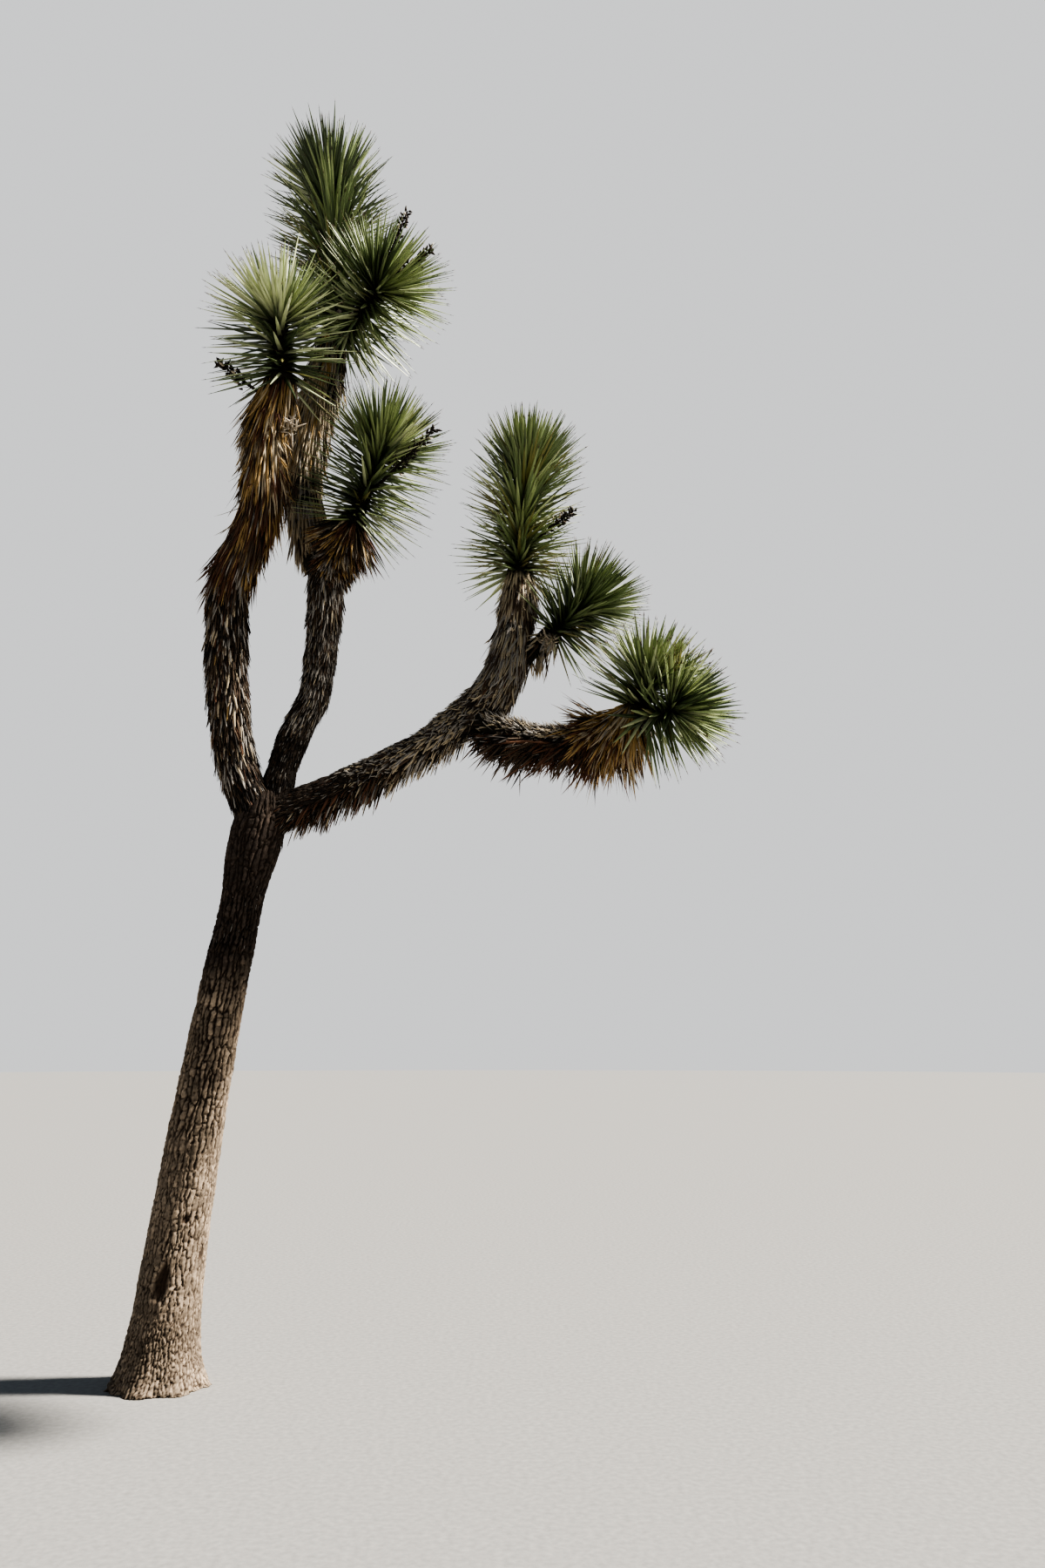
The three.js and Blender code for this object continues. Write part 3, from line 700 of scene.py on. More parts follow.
def leaf_place(mass, share):
    """How far up the stem the leaves stand, how far they open, and their size."""
    foot, under, tip = np.radians(mass["open"])
    up = share / mass["column"]
    top = 1 if mass["column"] == 1 else COLUMN_TOP
    size = np.ones(len(share))
    if mass["notch"]:
        size -= NOTCH_DEPTH * np.exp(-(((up - mass["notch"]) / NOTCH_WIDTH) ** 2))
    burst = (share - mass["column"]) / max(1 - mass["column"], 1e-9)
    burst_open = np.arccos(np.clip(
        np.cos(under) + (np.cos(tip) - np.cos(under)) * burst, -1, 1))
    column_open = foot + (under - foot) * np.sqrt(np.clip(up, 0, 1))
    in_column = up < 1
    return (
        np.where(in_column, top * up, BURST_FROM + (BURST_TO - BURST_FROM) * burst),
        np.where(in_column, column_open, burst_open),
        np.where(in_column, size, 1),
    )


def room_for(name, root, direction, long):
    """How much of each leaf stays clear of the other limbs and, mostly, of their leaves."""
    own, reach = STRETCHES[name], MASSES[name]["reach"] * MM
    room, fits = np.ones(len(root)), np.ones(len(root), bool)
    for i in range(1, PROBES + 1):
        probe = root + direction * (long * i / PROBES)[:, None]
        ball = LEAF_ROOM * (1 - i / PROBES) + CLEARANCE
        share = own.distance(probe) / reach
        clear = np.ones(len(root), bool)
        for other, stretch in STRETCHES.items():
            if stretch.limb_name == own.limb_name:
                continue
            clear &= stretch.depth(probe) < -ball
            if other in MASSES:
                other_share = (stretch.distance(probe) - 2 * ball) / (MASSES[other]["reach"] * MM)
                clear &= (other_share > share * SHARED_SPACE) | (own.depth(probe) > 0)
        room[fits & ~clear] = (i - 1) / PROBES
        fits &= clear
    return room


def sprays(rows, angle):
    """The number of the spray that each leaf belongs to."""
    place = np.floor(angle % math.tau / math.tau * SPRAYS_ROUND)
    return (place + SPRAYS_ROUND * np.floor(rows)).astype(int)


def by_spray(rng, spray):
    """One number from 0 to 1 for each spray, given to all its leaves."""
    return rng.random(spray.max() + 1)[spray]


def beside(axis, out, direction):
    """The directions across leaves that open away from a stem."""
    across = np.cross(axis, out)
    return unit(across - direction * (across * direction).sum(1, keepdims=True))


def twists(rng, spread, count):
    """How far each leaf turns about its length."""
    return np.clip(rng.normal(0, spread, count), -MOST_TWIST, MOST_TWIST)


def deal(mass, up, spray, rng):
    """Which of its mass's colours each leaf has. Leaves of one spray mostly share theirs."""
    foot, tip = (np.array(t, float) / sum(t) for t in mass["tints"])
    chosen = np.where(
        rng.random(len(up)) < SPRAY_SHARE, by_spray(rng, spray), rng.random(len(up)))
    edges = np.cumsum(foot + (tip - foot) * up[:, None] ** mass["late"], axis=1)
    return (chosen[:, None] > edges[:, :-1]).sum(1)


def mass_blades(name, multiple, width, seed):
    """The table of one mass's leaves, in a spiral from its foot to its tip, and their colours."""
    mass, stretch = MASSES[name], STRETCHES[name]
    rng = np.random.default_rng(seed)
    count = round(mass["leaves"] * multiple * mass["density"])
    live = name in ROSETTES
    up, opening, size = leaf_place(mass, (np.arange(count) + 0.5) / count)
    angle = np.arange(count) * GOLDEN_ANGLE + TURN_JITTER * (rng.random(count) - 0.5)
    opening = opening + ANGLE_JITTER * (rng.random(count) - 0.5)
    spray = sprays(up * SPRAY_ROWS, angle)
    long = (mass["long"][0] + (mass["long"][1] - mass["long"][0]) * up) * MM * size
    long = long * (1 + LENGTH_JITTER * (rng.random(count) - 0.5))
    if not live:
        stray = rng.random(count) < mass["strays"]
        opening = np.where(stray, np.radians(rng.uniform(*STRAYS_OPEN, count)), opening)
        long = long * np.where(stray, STRAY_LENGTH, rng.uniform(STRAY_LENGTH, 1.0, count))
        long = long * (1 - mass["trim"] * (1 - up))
        long = long * (1 - mass["ragged"] * by_spray(rng, spray))
        long = long * np.where(rng.random(count) < mass["spikes"], 1, SHORT_BY_SPIKES)
    elif mass["shoots"]:
        shoot = (rng.random(count) < mass["shoots"]) & (opening < SHOOTS_WITHIN)
        long = long * np.where(shoot, SHOOT_LENGTH, 1)
    point, axis, out = stretch.ray(up, angle)
    direction = turned(axis, out, opening)
    direction[:, 2] -= mass["droop"]
    if not live:
        hang = mass["hang"] * rng.uniform(0.3, 1.3, count)
        direction[:, 2] -= hang * np.abs(axis[:, 2])
        direction += mass["spread"] * rng.normal(0, 1, (count, 3))
    direction = unit(direction)
    sink, bend, twist = LIVE_HABIT if live else DEAD_HABIT
    point = point + out * (sink * stretch.stem_radius(up))[:, None]
    room = room_for(name, point, direction, long)
    kept = room >= SHORTEST_LEAF
    if mass["bare"]:
        kept &= out[:, 2] < 0.6 * (smoothstep(up, 0.1, 0.45) - 1)
    width = width * mass["wide"]
    blades = np.column_stack([
        point, direction, beside(axis, out, direction), long * room,
        width * rng.uniform(0.85, 1.15, count) * (1 if live else rng.uniform(0.6, 1.25, count)),
        rng.normal(0, bend, count), twists(rng, twist, count)])
    return blades[kept], deal(mass, up, spray, rng)[kept]


def grow(names, settings, seed):
    """The tables and colours of several masses."""
    return [mass_blades(name, settings.multiple, settings.width, seed + SEED_STEP * i)
            for i, name in enumerate(names)]


def coloured(grown, k):
    """The rows of several tables that have one colour."""
    return [blades[tint == k] for blades, tint in grown]


def thatch_blades(zone, seed):
    """The dead leaf remnants that lie on the bark in one zone, and their colours."""
    stretch, rng = STRETCHES[zone["limb"]], np.random.default_rng(seed)
    low, high = zone["part"]
    run = (stretch.end - stretch.start) * (high - low)
    count = int(zone["count"] * run * math.tau * stretch.stem_radius((low + high) / 2))
    up = low + (high - low) * (np.arange(count) + rng.random(count)) / count
    edge = np.minimum(up - low if low > 0 else 1, high - up if high < 0.99 else 1)
    angle = np.arange(count) * GOLDEN_ANGLE + TURN_JITTER * rng.random(count)
    point, axis, out = stretch.ray(up, angle)
    level = 1 - axis[:, 2] ** 2
    under = np.clip(-out[:, 2] + 0.15, 0, 1) * level
    opening = np.radians(180 - zone["shag"] * rng.uniform(0.2, 1.9, count) - 30 * under)
    direction = turned(axis, out, opening)
    direction += zone["tousle"] * rng.normal(0, 1, (count, 1)) * np.cross(axis, out)
    direction[:, 2] -= zone["hang"] * np.clip(0.45 - out[:, 2], 0, 1) * level
    direction = unit(direction)
    point = point + out * (zone["seat"] * stretch.stem_radius(up))[:, None]
    long = rng.uniform(*zone["long"], count) * MM * (1 + 0.3 * under)
    spray = sprays((up - low) * (stretch.end - stretch.start) / THATCH_ROW, angle)
    long = long * (1 - zone["ragged"] * by_spray(rng, spray))
    clear = rng.random(count) < np.where(
        out[:, 2] * level > zone["edge"], zone["top"], zone["under"])
    clear &= rng.random(count) < smoothstep(edge, 0, 0.05)
    for stem in STRETCHES.values():
        if stem.limb_name != stretch.limb_name:
            for share in (0.0, 0.5, 1.0):
                clear &= stem.depth(point + direction * (long * share)[:, None]) < 0
    wide = np.clip(long * 0.10, *THATCH_WIDTHS) * rng.uniform(0.75, 1.3, count) * zone["broad"]
    blades = np.column_stack([
        point, direction, beside(axis, out, direction), long, wide,
        rng.normal(0.02, 0.05, count), twists(rng, 0.5, count)])
    edges = np.cumsum(np.array(zone["tints"], float) / sum(zone["tints"]))
    return blades[clear], (rng.random(count)[:, None] > edges[:-1]).sum(1)[clear]


# Relief


def fissures(around, along, girth, columns, tall, cross, seed):
    """Long plates round a stem, each broken into blocks. Gives each point's distance from the
    nearest lengthwise crack and cross crack, its place up its block, and the block's tone."""
    rng = np.random.default_rng(seed)
    x, y = around * columns, along / tall
    rows = int(y.max()) + 4
    random = rng.random((rows, columns, 5))
    column, row = np.floor(x).astype(int), np.floor(y).astype(int)
    near, next_near = np.full((2, len(x)), 9.0)
    centre, next_centre = np.zeros((2, len(x), 2))
    block = np.zeros((len(x), 3))
    for step_x in (-1, 0, 1):
        for step_y in (-1, 0, 1):
            cell = random[row + step_y + 1, (column + step_x) % columns]
            gap = np.stack([
                column + step_x + 0.12 + 0.76 * cell[:, 0] - x,
                row + step_y + 0.08 + 0.84 * cell[:, 1] - y], 1)
            away = np.hypot(gap[:, 0], gap[:, 1])
            first = away < near
            second = ~first & (away < next_near)
            next_near = np.where(first, near, np.where(second, away, next_near))
            next_centre = np.where(
                first[:, None], centre, np.where(second[:, None], gap, next_centre))
            near = np.where(first, away, near)
            centre = np.where(first[:, None], gap, centre)
            block = np.where(first[:, None], cell[:, 2:], block)
    apart = centre / (near[:, None] + 1e-9) - next_centre / (next_near[:, None] + 1e-9)
    slope = np.hypot(apart[:, 0] * columns / girth, apart[:, 1] / tall)
    crack = (next_near - near) / (slope + 1e-6)
    pitch = cross * (0.6 + 0.9 * block[:, 0])
    level = along / pitch + 9 * block[:, 1]
    within = level % 1
    cross_crack = np.minimum(within, 1 - within) * pitch
    tone = np.modf(np.abs(np.sin(np.floor(level) * 12.99 + block[:, 2] * 78.2)) * 437.5)[0]
    return crack, cross_crack, within, tone


def plate_height(crack, cross_crack, within, tone, width):
    """The height of broken bark, 0 in a crack and about 1 on a plate."""
    width = width * (0.6 + 0.8 * tone)
    long_way = smoothstep(crack, 0, width)
    cross_way = 0.4 + 0.6 * smoothstep(cross_crack, 0, width * 0.8)
    return long_way * cross_way * (0.78 + 0.12 * tone + 0.1 * (1 - within))


def scar_depth(z, angle, radius):
    """How deep in an old scar each point of the trunk is, 0 to 1."""
    deep = np.zeros(len(z))
    for height, degrees, half_height, half_width in SCARS:
        turn = (angle - math.radians(degrees) + math.pi) % math.tau - math.pi
        rise = (z - height) / half_height
        lean = turn * radius - 0.25 * half_width * rise
        spread = np.hypot(rise, lean / (half_width * (1 - 0.45 * np.clip(rise, -1, 1))))
        deep = np.maximum(deep, 1 - smoothstep(spread, 0.5, 1.1))
    return deep


def trunk_shape(around, share, bark):
    """Places on the trunk, with its plates, cracks, root lobes and scars."""
    z, angle = TRUNK_HEIGHT * share, math.tau * around
    radius = trunk_radius(z)
    girth = math.tau * radius
    columns = round(math.tau * trunk_radius(WAIST) / bark.plate_width)
    straight = np.stack([np.cos(angle) * 0.12, np.sin(angle) * 0.12, z], 1)
    warp = 0.010 * fractal(straight * (1, 1, 0.5), 14.0) + 0.005 * fractal(straight, 52.0)
    warp_up = 0.012 * fractal(straight + 7.0, 12.0) + 0.006 * fractal(straight + 9.0, 60.0)

    def plates(per_column, per_height, row, crack, seed):
        cracks = fissures(
            around + warp / girth, np.clip(z + warp_up, 0, None), girth,
            round(columns * per_column), row, bark.plate_height * per_height, seed)
        return plate_height(*cracks, crack), cracks[3]

    high = smoothstep(z + 3 * warp_up, *FINE_PLATES_END)
    low = 1 - smoothstep(z + 4 * warp_up, *CRUMBS_END)
    crumbs, fine, bold = plates(*CRUMBS), plates(*FINE_PLATES), plates(*BOLD_PLATES)
    plate = low * crumbs[0] + (1 - high) * (1 - low) * fine[0] + high * bold[0]
    tone = np.where(high < 0.5, np.where(low < 0.5, fine[1], crumbs[1]), bold[1])
    scar = scar_depth(z, angle, radius)
    relief = (plate - PLATE_LEVEL) * bark.crack_depth * (0.75 + 0.45 * high) - SCAR_DEPTH * scar
    relief += FINE_WAVES * fractal(straight, 60.0, 4) + BROAD_WAVES * fractal(straight, 6.0, 2)
    relief += np.exp(-z / ROOT_WAVES_HEIGHT) * ROOT_WAVES * fractal(straight + 3.0, 42.0, 4)
    lobes = 1 + LOBE_DEPTH * np.cos(ROOT_LOBES * angle) * np.exp(-z / FLARE_HEIGHT)
    dome = np.sqrt(np.clip(1 - (np.clip(z - DOME_FROM, 0, 1) / DOME_HEIGHT) ** 2, 0, 1))
    r = np.maximum(radius * lobes + relief * dome, POLE)
    points = np.stack([trunk_centre(z) + r * np.cos(angle), r * np.sin(angle), z], 1)
    return points, {"plate": smoothstep(plate, *PLATE_EDGE), "tone": tone, "scar": scar}


def bough_shape(around, share, stretch, columns, depth, seed):
    """Places on a bare bough, with its blocks of bark."""
    along, angle = stretch.along(share), -math.tau * around
    straight = np.stack([np.cos(angle) * 0.08, np.sin(angle) * 0.08, along * 0.45], 1)
    warp = fractal(straight + seed, 14.0)
    cracks = fissures(
        around + warp * BOUGH_WANDER, np.clip(along + BOUGH_WANDER * warp, 0, None),
        math.tau * stretch.stem_radius(share), columns, *BOUGH_BLOCKS, 11 + seed)
    plate, tone = plate_height(*cracks, BOUGH_CRACK), cracks[3]
    shag = fractal(straight * (1, 1, 0.6) + 5 * seed, 55.0, 4)
    relief = (plate - PLATE_LEVEL) * depth + SHAG_DEPTH * shag
    ends = smoothstep(share, 0, BOUGH_END) * smoothstep(1 - share, 0, BOUGH_END)
    r = (stretch.stem_radius(share) * BOUGH_CORE + relief) * ends + POLE
    point, _, out = stretch.ray(share, angle)
    return point + out * r[:, None], {
        "plate": smoothstep(plate, *PLATE_EDGE), "tone": tone, "scar": 0 * tone}


def stem_shape(around, share, stretch, core):
    """Places on the ridged stem inside a mass, which laps over the limb that carries it."""
    lap = STEM_LAP / (stretch.end - stretch.start)
    ends = smoothstep(share, 0, STEM_END) * smoothstep(1 - share, 0, STEM_END)
    share = share * (1 + lap + (0 if stretch.free else lap)) - lap
    along, angle = stretch.along(share), -math.tau * around
    ridges = 1 + RIDGE_DEPTH * np.sin(RIDGES * angle + 90 * along) * np.sin(110 * along)
    r = stretch.stem_radius(share) * core * ridges * ends + POLE
    point, _, out = stretch.ray(share, angle)
    return point + out * r[:, None], {}


# Building blocks


def deselect():
    if bpy.context.mode != "OBJECT":
        bpy.ops.object.mode_set(mode="OBJECT")
    bpy.ops.object.select_all(action="DESELECT")


def rolled_tube(name, sides, rings, shape, spread=1.0):
    """A grid rolled into a closed tube. shape gives the place and attributes of each vertex."""
    deselect()
    bpy.ops.mesh.primitive_grid_add(x_subdivisions=sides, y_subdivisions=rings, size=1)
    tube = bpy.context.object
    tube.name = tube.data.name = name
    flat = np.zeros(len(tube.data.vertices) * 3)
    tube.data.vertices.foreach_get("co", flat)
    flat = flat.reshape(-1, 3) + 0.5
    points, attributes = shape(flat[:, 0], np.clip(flat[:, 1], 0, 1) ** spread)
    tube.data.vertices.foreach_set("co", points.ravel())
    for key, values in attributes.items():
        layer = tube.data.attributes.new(key, "FLOAT", "POINT")
        layer.data.foreach_set("value", values.astype(np.float32))
    bpy.ops.object.mode_set(mode="EDIT")
    bpy.ops.mesh.select_all(action="SELECT")
    bpy.ops.mesh.remove_doubles(threshold=1e-5)
    bpy.ops.mesh.select_all(action="DESELECT")
    bpy.ops.mesh.select_mode(type="EDGE")
    bpy.ops.mesh.select_non_manifold()
    bpy.ops.mesh.fill()
    bpy.ops.mesh.select_all(action="SELECT")
    bpy.ops.mesh.normals_make_consistent(inside=False)
    bpy.ops.object.mode_set(mode="OBJECT")
    bpy.ops.object.shade_smooth()
    return tube


def blade_object(name, tables, kind, paint):
    """An object with all the blades of several tables, and its UV map along them."""
    points, triangles, marks = blade_mesh(np.vstack(tables), *kind)
    mesh = bpy.data.meshes.new(name)
    mesh.vertices.add(len(points))
    mesh.vertices.foreach_set("co", points.ravel())
    mesh.loops.add(triangles.size)
    mesh.loops.foreach_set("vertex_index", triangles.ravel())
    mesh.polygons.add(len(triangles))
    mesh.polygons.foreach_set("loop_start", np.arange(0, triangles.size, 3))
    mesh.update(calc_edges=True)
    layer = mesh.uv_layers.new(name="blade")
    layer.uv.foreach_set("vector", marks[triangles.ravel()].ravel())
    mesh.materials.append(paint)
    made = bpy.data.objects.new(name, mesh)
    bpy.context.collection.objects.link(made)
    return made


def joined(name, parts):
    """One object from several."""
    deselect()
    for part in parts:
        part.select_set(True)
    bpy.context.view_layer.objects.active = parts[0]
    if len(parts) > 1:
        bpy.ops.object.join()
    made = bpy.context.object
    made.name = made.data.name = name
    return made


def keep(piece, nodes=()):
    """Hands a finished piece to the frame."""
    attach(piece, "root")
    if nodes:
        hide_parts(*nodes)


# Materials


class Paint:
    """A material and short ways to add nodes to it."""

    def __init__(self, name, roughness, gloss=0.3):
        self.material = bpy.data.materials.new(name)
        self.material.use_nodes = True
        self.tree = self.material.node_tree
        self.surface = self.tree.nodes["Principled BSDF"]
        self.surface.inputs["Roughness"].default_value = roughness
        self.surface.inputs["Specular IOR Level"].default_value = gloss

    def add(self, kind, result=0, settings=(), **sockets):
        node = self.tree.nodes.new(kind)
        for key, value in dict(settings).items():
            setattr(node, key, value)
        for key, value in sockets.items():
            self.plug(node.inputs[key.replace("_", " ")], value)
        return node.outputs[result]

    def plug(self, socket, value):
        if isinstance(value, bpy.types.NodeSocket):
            self.tree.links.new(value, socket)
        else:
            socket.default_value = value

    def mix(self, factor, first, second, blend="MIX"):
        node = self.tree.nodes.new("ShaderNodeMix")
        node.data_type, node.blend_type = "RGBA", blend
        for index, value in ((0, factor), (6, first), (7, second)):
            if isinstance(value, tuple):
                value = (*value, 1.0)
            self.plug(node.inputs[index], value)
        return node.outputs[2]

    def between(self, value, low, high, start=0.0, end=1.0):
        return self.add(
            "ShaderNodeMapRange", Value=value, From_Min=low, From_Max=high, To_Min=start,
            To_Max=end)

    def noise(self, vector, scale, detail=3.0):
        return self.add("ShaderNodeTexNoise", Vector=vector, Scale=scale, Detail=detail)

    def here(self):
        return self.add("ShaderNodeTexCoord", result="Object")

    def attribute(self, name):
        return self.add("ShaderNodeAttribute", result="Fac", settings={"attribute_name": name})

    def shaded(self, base, low, high, value):
        """A colour made darker and lighter by a value from 0 to 1."""
        grey = self.between(value, 0.25, 0.75, low, high)
        return self.mix(1.0, base, grey, "MULTIPLY")

    def finish(self, base, height, distance, strength=0.6):
        bump = self.add("ShaderNodeBump", Height=height, Distance=distance, Strength=strength)
        self.plug(self.surface.inputs["Base Color"], base)
        self.plug(self.surface.inputs["Normal"], bump)
        return self.material


def bark_paint(name, lower, upper, crack, low, high):
    """Weathered cork: one colour at the foot, another above, and dark cracks."""
    paint = Paint(name, 0.93)
    here = paint.here()
    height = paint.add("ShaderNodeSeparateXYZ", result="Z", Vector=here)
    wander = paint.noise(here, 5.0)
    level = paint.add("ShaderNodeMath", settings={"operation": "ADD"})
    node = level.node
    paint.plug(node.inputs[0], height)
    paint.plug(node.inputs[1], paint.between(wander, 0.3, 0.7, -0.25, 0.25))
    plate = paint.mix(paint.between(level, low, high), lower, upper)
    plate = paint.shaded(plate, 0.72, 1.22, paint.attribute("tone"))
    plate = paint.shaded(plate, 0.90, 1.30, paint.noise(here, 17.0))
    lengthwise = paint.add("ShaderNodeMapping", Vector=here, Scale=(1.0, 1.0, 0.3))
    grain = paint.noise(lengthwise, 190.0, 4.0)
    plate = paint.shaded(plate, 0.70, 1.28, grain)
    plate = paint.shaded(plate, 0.62, 1.36, paint.noise(here, 85.0, 4.0))
    plate = paint.shaded(plate, 0.66, 1.16, paint.noise(here, 7.5, 4.0))
    deep = paint.mix(paint.between(grain, 0.3, 0.7), crack, tuple(k * 1.9 for k in crack))
    base = paint.mix(paint.attribute("plate"), deep, plate)
    base = paint.mix(paint.attribute("scar"), base, tuple(k * 2.4 for k in crack))
    fine = paint.noise(here, 420.0, 3.0)
    return paint.finish(base, paint.add(
        "ShaderNodeMix", Factor=0.5, A=grain, B=fine), 0.003)


def leaf_paint(name, base, roughness, fade=0.12, foot=0.10, gloss=0.3):
    """A plain leaf colour with fine lengthwise fibres, and painted shade over the foot of the leaf."""
    paint = Paint(name, roughness, gloss)
    here = paint.here()
    marks = paint.add("ShaderNodeUVMap", settings={"uv_map": "blade"})
    stretched = paint.add("ShaderNodeMapping", Vector=marks, Scale=(14.0, 6.0, 1.0))
    fibres = paint.noise(stretched, 3.0, 2.0)
    tinted = paint.shaded(tuple(base), 1 - fade, 1 + fade, paint.noise(here, 9.0))
    tinted = paint.shaded(tinted, 1 - fade, 1 + fade, fibres)
    along = paint.add("ShaderNodeSeparateXYZ", result="Y", Vector=marks)
    # Painted shade: the leaf darkens to 0.4 of its colour at its foot, over a length of foot metres
    tinted = paint.mix(1.0, tinted, paint.between(along, 0.0, foot, 0.4, 1.0), "MULTIPLY")
    return paint.finish(tinted, fibres, 0.0006, 0.35)


def plain_paint(name, base, roughness, scale, distance):
    """A plain colour with soft unevenness and a fine rough surface."""
    paint = Paint(name, roughness)
    here = paint.here()
    tinted = paint.shaded(tuple(base), 0.85, 1.12, paint.noise(here, scale))
    return paint.finish(tinted, paint.noise(here, scale * 8), distance)


# Operators


class TREE_OT_trunk(bpy.types.Operator):
    """Build the trunk's bark with its cork plates, cracks, root flare and old scars"""

    bl_idname = "tree.trunk"
    bl_label = "Trunk"

    def execute(self, context):
        bark = context.scene.bark_settings
        trunk = rolled_tube(
            "trunk_bark", TRUNK_SIDES, TRUNK_ROWS,
            lambda around, share: trunk_shape(around, share, bark), ROW_SPREAD)
        trunk.data.materials.append(bark_paint(
            "cork_bark", tuple(bark.foot), tuple(bark.upper), tuple(bark.crack), *TRUNK_CHANGE))
        keep(trunk, ("trunk",))
        return {"FINISHED"}


class TREE_OT_boughs(bpy.types.Operator):
    """Build the shaggy bark of the three bare boughs"""

    bl_idname = "tree.boughs"
    bl_label = "Boughs"

    def execute(self, context):
        bark = context.scene.bark_settings
        # The lower shade darkens the bark near the fork as painted shade of the crown
        lower, upper = (tuple(k * shade for k in bark.bough) for shade in BOUGH_SHADES)
        paint = bark_paint("bough_bark", lower, upper, tuple(bark.crack), *BOUGH_CHANGE)
        for seed, (name, bough) in enumerate(BOUGHS.items()):
            stretch = STRETCHES[name]
            tube = rolled_tube(
                f"bough_{name}_bark", BOUGH_SIDES,
                int((stretch.end - stretch.start) / BOUGH_ROW),
                lambda around, share: bough_shape(
                    around, share, stretch, bough["columns"], bark.fibre_depth, seed))
            tube.data.materials.append(paint)
            keep(tube, bough["nodes"])
        return {"FINISHED"}


class TREE_OT_stems(bpy.types.Operator):
    """Build the stems in the rosettes and skirts, which show between the leaves as painted shade"""

    bl_idname = "tree.stems"
    bl_label = "Stems"

    def execute(self, context):
        settings = context.scene.stalk_settings
        tubes = []
        for name in MASSES:
            stretch = STRETCHES[name]
            core = ROSETTE_CORE if name in ROSETTES else SKIRT_CORE
            tubes.append(rolled_tube(
                name, STEM_SIDES, int((stretch.end - stretch.start) / STEM_ROW),
                lambda around, share: stem_shape(around, share, stretch, core)))
        stems = joined("mass_stems", tubes)
        # The stems are nearly black as painted shade in the cores of the rosettes and skirts
        stems.data.materials.append(plain_paint("dark_stem", settings.stem, 0.95, 30.0, 0.004))
        keep(stems, MASSES)
        return {"FINISHED"}


class TREE_OT_rosettes(bpy.types.Operator):
    """Grow the living leaves of every rosette, with a hard spine at each tip"""

    bl_idname = "tree.rosettes"
    bl_label = "Rosettes"

    def execute(self, context):
        settings = context.scene.leaf_settings
        grown = grow(ROSETTES, settings, ROSETTE_SEED)
        for k, shade in enumerate(LIVE_COLOURS):
            leaves = blade_object(
                f"leaves_{shade}", coloured(grown, k), LIVE_LEAF,
                leaf_paint(f"leaf_{shade}", getattr(settings, shade), 0.38, gloss=0.5))
            keep(leaves, ROSETTES)
        spines = blade_object(
            "leaf_spines", [spine_table(blades) for blades, _ in grown], SPINE,
            leaf_paint("spine_brown", settings.spine, 0.5, foot=0.001))
        keep(spines, ROSETTES)
        return {"FINISHED"}


class TREE_OT_skirts(bpy.types.Operator):
    """Grow the dead leaves that hang under the rosettes and lie on the fork and bare boughs"""

    bl_idname = "tree.skirts"
    bl_label = "Skirts"

    def execute(self, context):
        settings = context.scene.dead_leaf_settings
        grown = grow(SKIRTS, settings, SKIRT_SEED)
        thatch = [thatch_blades(zone, THATCH_SEED + i) for i, zone in enumerate(THATCH)]
        for k, shade in enumerate(DEAD_COLOURS):
            paint = leaf_paint(
                f"dead_leaf_{shade}", getattr(settings, shade), 0.75, fade=0.2, foot=0.03)
            hanging = blade_object(f"hanging_{shade}", coloured(grown, k), DEAD_LEAF, paint)
            pressed = blade_object(f"pressed_{shade}", coloured(thatch, k), REMNANT, paint)
            keep(joined(f"dead_leaves_{shade}", [hanging, pressed]), SKIRTS)
        return {"FINISHED"}


class TREE_OT_stalks(bpy.types.Operator):
    """Build the dried flower stalks with their twigs and empty husks"""

    bl_idname = "tree.stalks"
    bl_label = "Flower Stalks"

    def execute(self, context):
        settings = context.scene.stalk_settings
        rng = np.random.default_rng(STALK_SEED)
        woody, husks = [], []
        for name, share, end in STALKS:
            root = STRETCHES[name].ray(np.array([share]), np.zeros(1))[0][0]
            run = np.array(end) * MM - root
            direction, long = unit(run), np.linalg.norm(run)
            woody.append(blade(root, direction, STALK_SQUARE_TO, long, settings.thickness))
            across = np.array(woody[-1][ACROSS])
            keel = np.cross(across, direction)
            for i in range(settings.twigs):
                place = TWIGS_FROM + TWIGS_OVER * i / settings.twigs
                turn = i * GOLDEN_ANGLE
                out = across * math.cos(turn) + keel * math.sin(turn)
                lean = rng.uniform(*TWIG_LEANS)
                twig = unit(direction * math.cos(lean) + out * math.sin(lean))
                size = rng.uniform(*TWIG_LENGTHS) * (1.3 - place)
                foot = root + direction * long * place
                woody.append(blade(
                    foot, twig, direction, size, TWIG_WIDTH, bow=rng.normal(0, 0.15)))
                if rng.random() < HUSKED:
                    husk = unit(twig + rng.normal(0, 0.5, 3))
                    kind = husks if rng.random() < PALE_HUSKS else woody
                    kind.append(blade(
                        foot + twig * size * 0.8, husk, direction, rng.uniform(*HUSK_LENGTHS),
                        HUSK_WIDTH, bow=0.1))
        for place, fibres, longest in WISPS:
            for _ in range(fibres):
                fibre = unit(rng.normal(0, 1, 3) * (1, 0.6, 0.8) + WISP_DRIFT)
                root = np.array(place) + rng.normal(0, WISP_ROOM, 3)
                husks.append(blade(
                    root, fibre, WISP_SQUARE_TO, longest * rng.uniform(0.4, 1), WISP_WIDTH,
                    bow=0.2, twist=0.5))
        stalks = blade_object(
            "flower_stalks", [woody], TWIG,
            plain_paint("dry_stalk", settings.stalk, 0.85, 60.0, 0.002))
        keep(stalks)
        pale = blade_object(
            "fruit_husks", [husks], HUSK,
            plain_paint("dry_husk", settings.husk, 0.8, 90.0, 0.001))
        keep(pale)
        return {"FINISHED"}


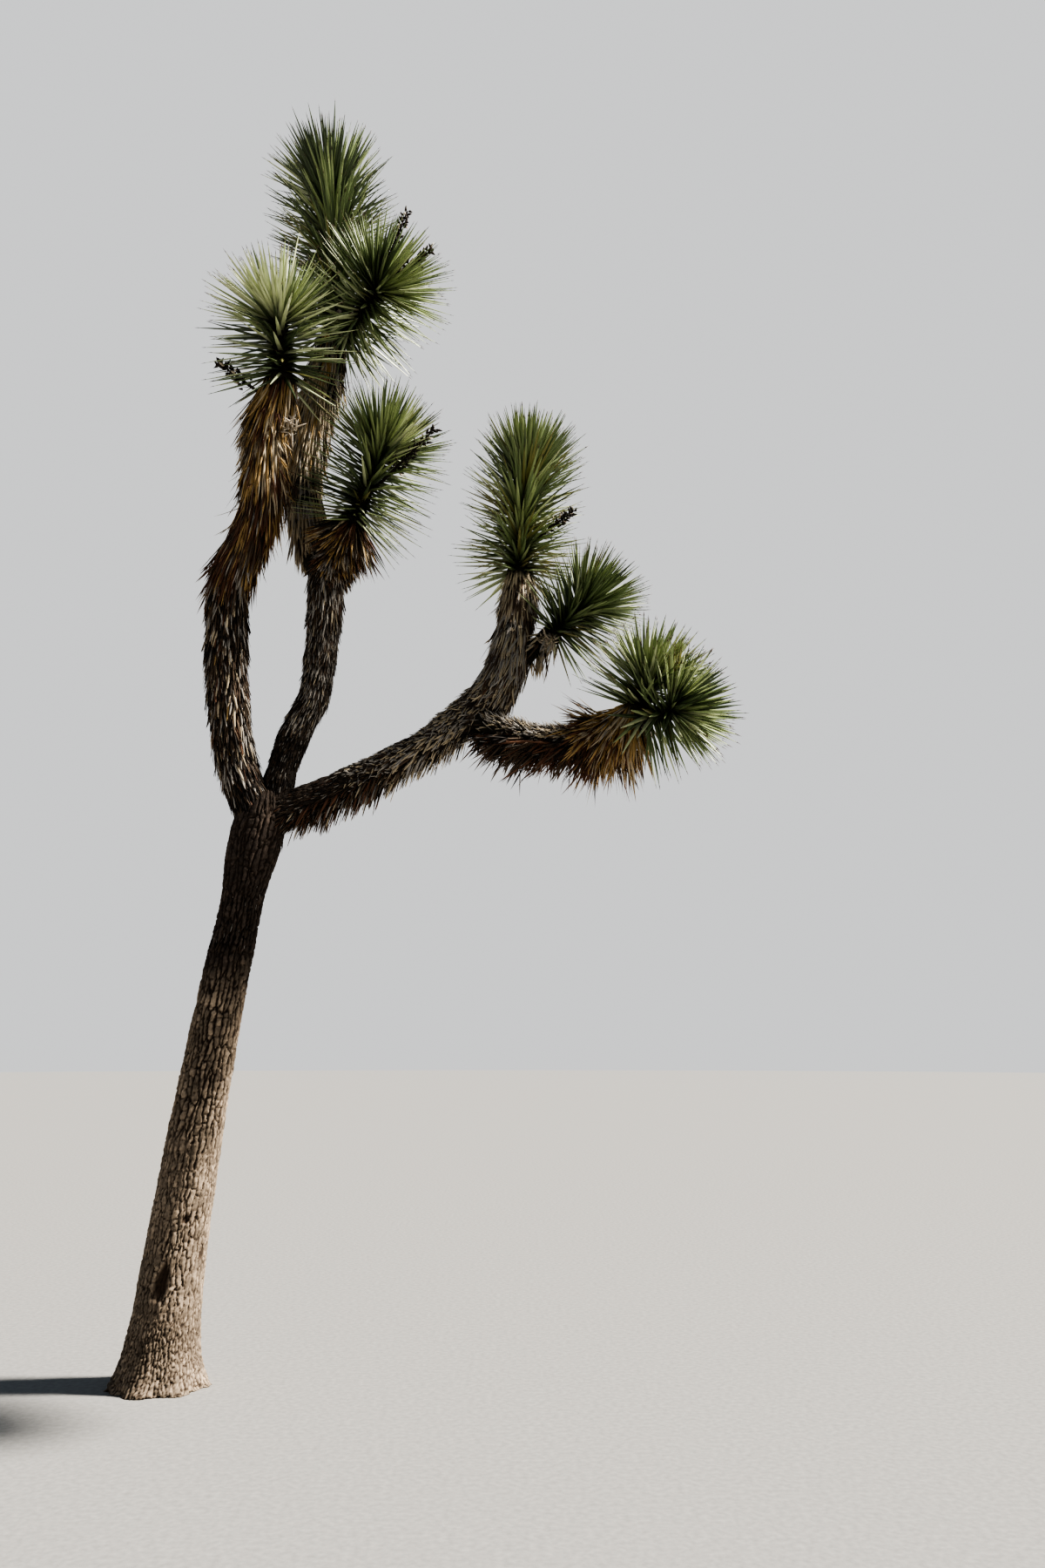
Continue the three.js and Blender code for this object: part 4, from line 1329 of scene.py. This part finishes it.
def light(name, kind, place, power, tint):
    data = bpy.data.lights.new(name, kind)
    data.energy, data.color = power, tint
    lamp = bpy.data.objects.new(name, data)
    lamp.location = place
    aim = np.array(LIGHTS_AIM) - np.array(place)
    lamp.rotation_euler = (
        math.acos(-aim[2] / np.linalg.norm(aim)), 0, math.atan2(aim[1], aim[0]) - math.pi / 2)
    bpy.context.collection.objects.link(lamp)
    return data


class TREE_OT_stage(bpy.types.Operator):
    """Set up the pale floor, the soft lights and the camera"""

    bl_idname = "tree.stage"
    bl_label = "Stage"

    def execute(self, context):
        settings = context.scene.stage_settings
        deselect()
        bpy.ops.mesh.primitive_circle_add(
            vertices=128, radius=settings.floor_radius, fill_type="NGON",
            location=(0, 0, -FLOOR_DROP))
        floor = context.object
        floor.name = "floor"
        floor.data.materials.append(plain_paint("pale_floor", settings.floor, 0.9, 45.0, 0.0002))

        world = bpy.data.worlds.new("studio")
        context.scene.world = world
        world.use_nodes = True
        tree = world.node_tree
        soft = tree.nodes["Background"]
        soft.inputs["Color"].default_value = SKY_TINT
        soft.inputs["Strength"].default_value = settings.sky_light
        backdrop = tree.nodes.new("ShaderNodeBackground")
        backdrop.inputs["Color"].default_value = BACKDROP_TINT
        backdrop.inputs["Strength"].default_value = settings.backdrop
        seen, choose = tree.nodes.new("ShaderNodeLightPath"), tree.nodes.new("ShaderNodeMixShader")
        tree.links.new(seen.outputs["Is Camera Ray"], choose.inputs[0])
        tree.links.new(soft.outputs[0], choose.inputs[1])
        tree.links.new(backdrop.outputs[0], choose.inputs[2])
        tree.links.new(choose.outputs[0], tree.nodes["World Output"].inputs["Surface"])
        context.scene.view_settings.look = "AgX - High Contrast"
        key = light("key", "SUN", KEY_PLACE, settings.key, KEY_TINT)
        key.angle = KEY_SPREAD
        fill = light("fill", "AREA", FILL_PLACE, settings.fill_power, FILL_TINT)
        fill.shape, fill.size = "DISK", FILL_SIZE

        data = bpy.data.cameras.new("camera")
        data.sensor_width, data.lens = SENSOR_WIDTH, CAMERA_LENS
        camera = bpy.data.objects.new("camera", data)
        camera.location = CAMERA_PLACE
        camera.rotation_euler = (math.radians(90 + CAMERA_TILT), 0, 0)
        context.collection.objects.link(camera)
        context.scene.camera = camera
        return {"FINISHED"}


class TREE_PT_build(bpy.types.Panel):
    """Lists the building steps and their settings"""

    bl_label = "Joshua Tree"
    bl_space_type = "VIEW_3D"
    bl_region_type = "UI"
    bl_category = "Joshua Tree"

    def draw(self, context):
        for operator, group in STEPS:
            box = self.layout.box()
            box.operator(operator.bl_idname)
            if group:
                settings = getattr(context.scene, group)
                for key in settings.bl_rna.properties.keys():
                    if key not in ("rna_type", "name"):
                        box.prop(settings, key)


# Each building step and the settings that the panel shows with it
STEPS = (
    (TREE_OT_trunk, "bark_settings"),
    (TREE_OT_boughs, None),
    (TREE_OT_stems, "stalk_settings"),
    (TREE_OT_skirts, "dead_leaf_settings"),
    (TREE_OT_rosettes, "leaf_settings"),
    (TREE_OT_stalks, None),
    (TREE_OT_stage, "stage_settings"),
)
GROUPS = {
    "bark_settings": BarkSettings,
    "leaf_settings": LeafSettings,
    "dead_leaf_settings": DeadLeafSettings,
    "stalk_settings": StalkSettings,
    "stage_settings": StageSettings,
}
CLASSES = (*GROUPS.values(), *(operator for operator, _ in STEPS), TREE_PT_build)


def register():
    for kind in CLASSES:
        bpy.utils.register_class(kind)
    for group, kind in GROUPS.items():
        setattr(bpy.types.Scene, group, PointerProperty(type=kind))


def unregister():
    for group in GROUPS:
        delattr(bpy.types.Scene, group)
    for kind in reversed(CLASSES):
        bpy.utils.unregister_class(kind)


def main():
    register()
    bpy.ops.tree.trunk()
    bpy.ops.tree.boughs()
    bpy.ops.tree.stems()
    bpy.ops.tree.skirts()
    bpy.ops.tree.rosettes()
    bpy.ops.tree.stalks()
    bpy.ops.tree.stage()


if __name__ == "__main__":
    main()
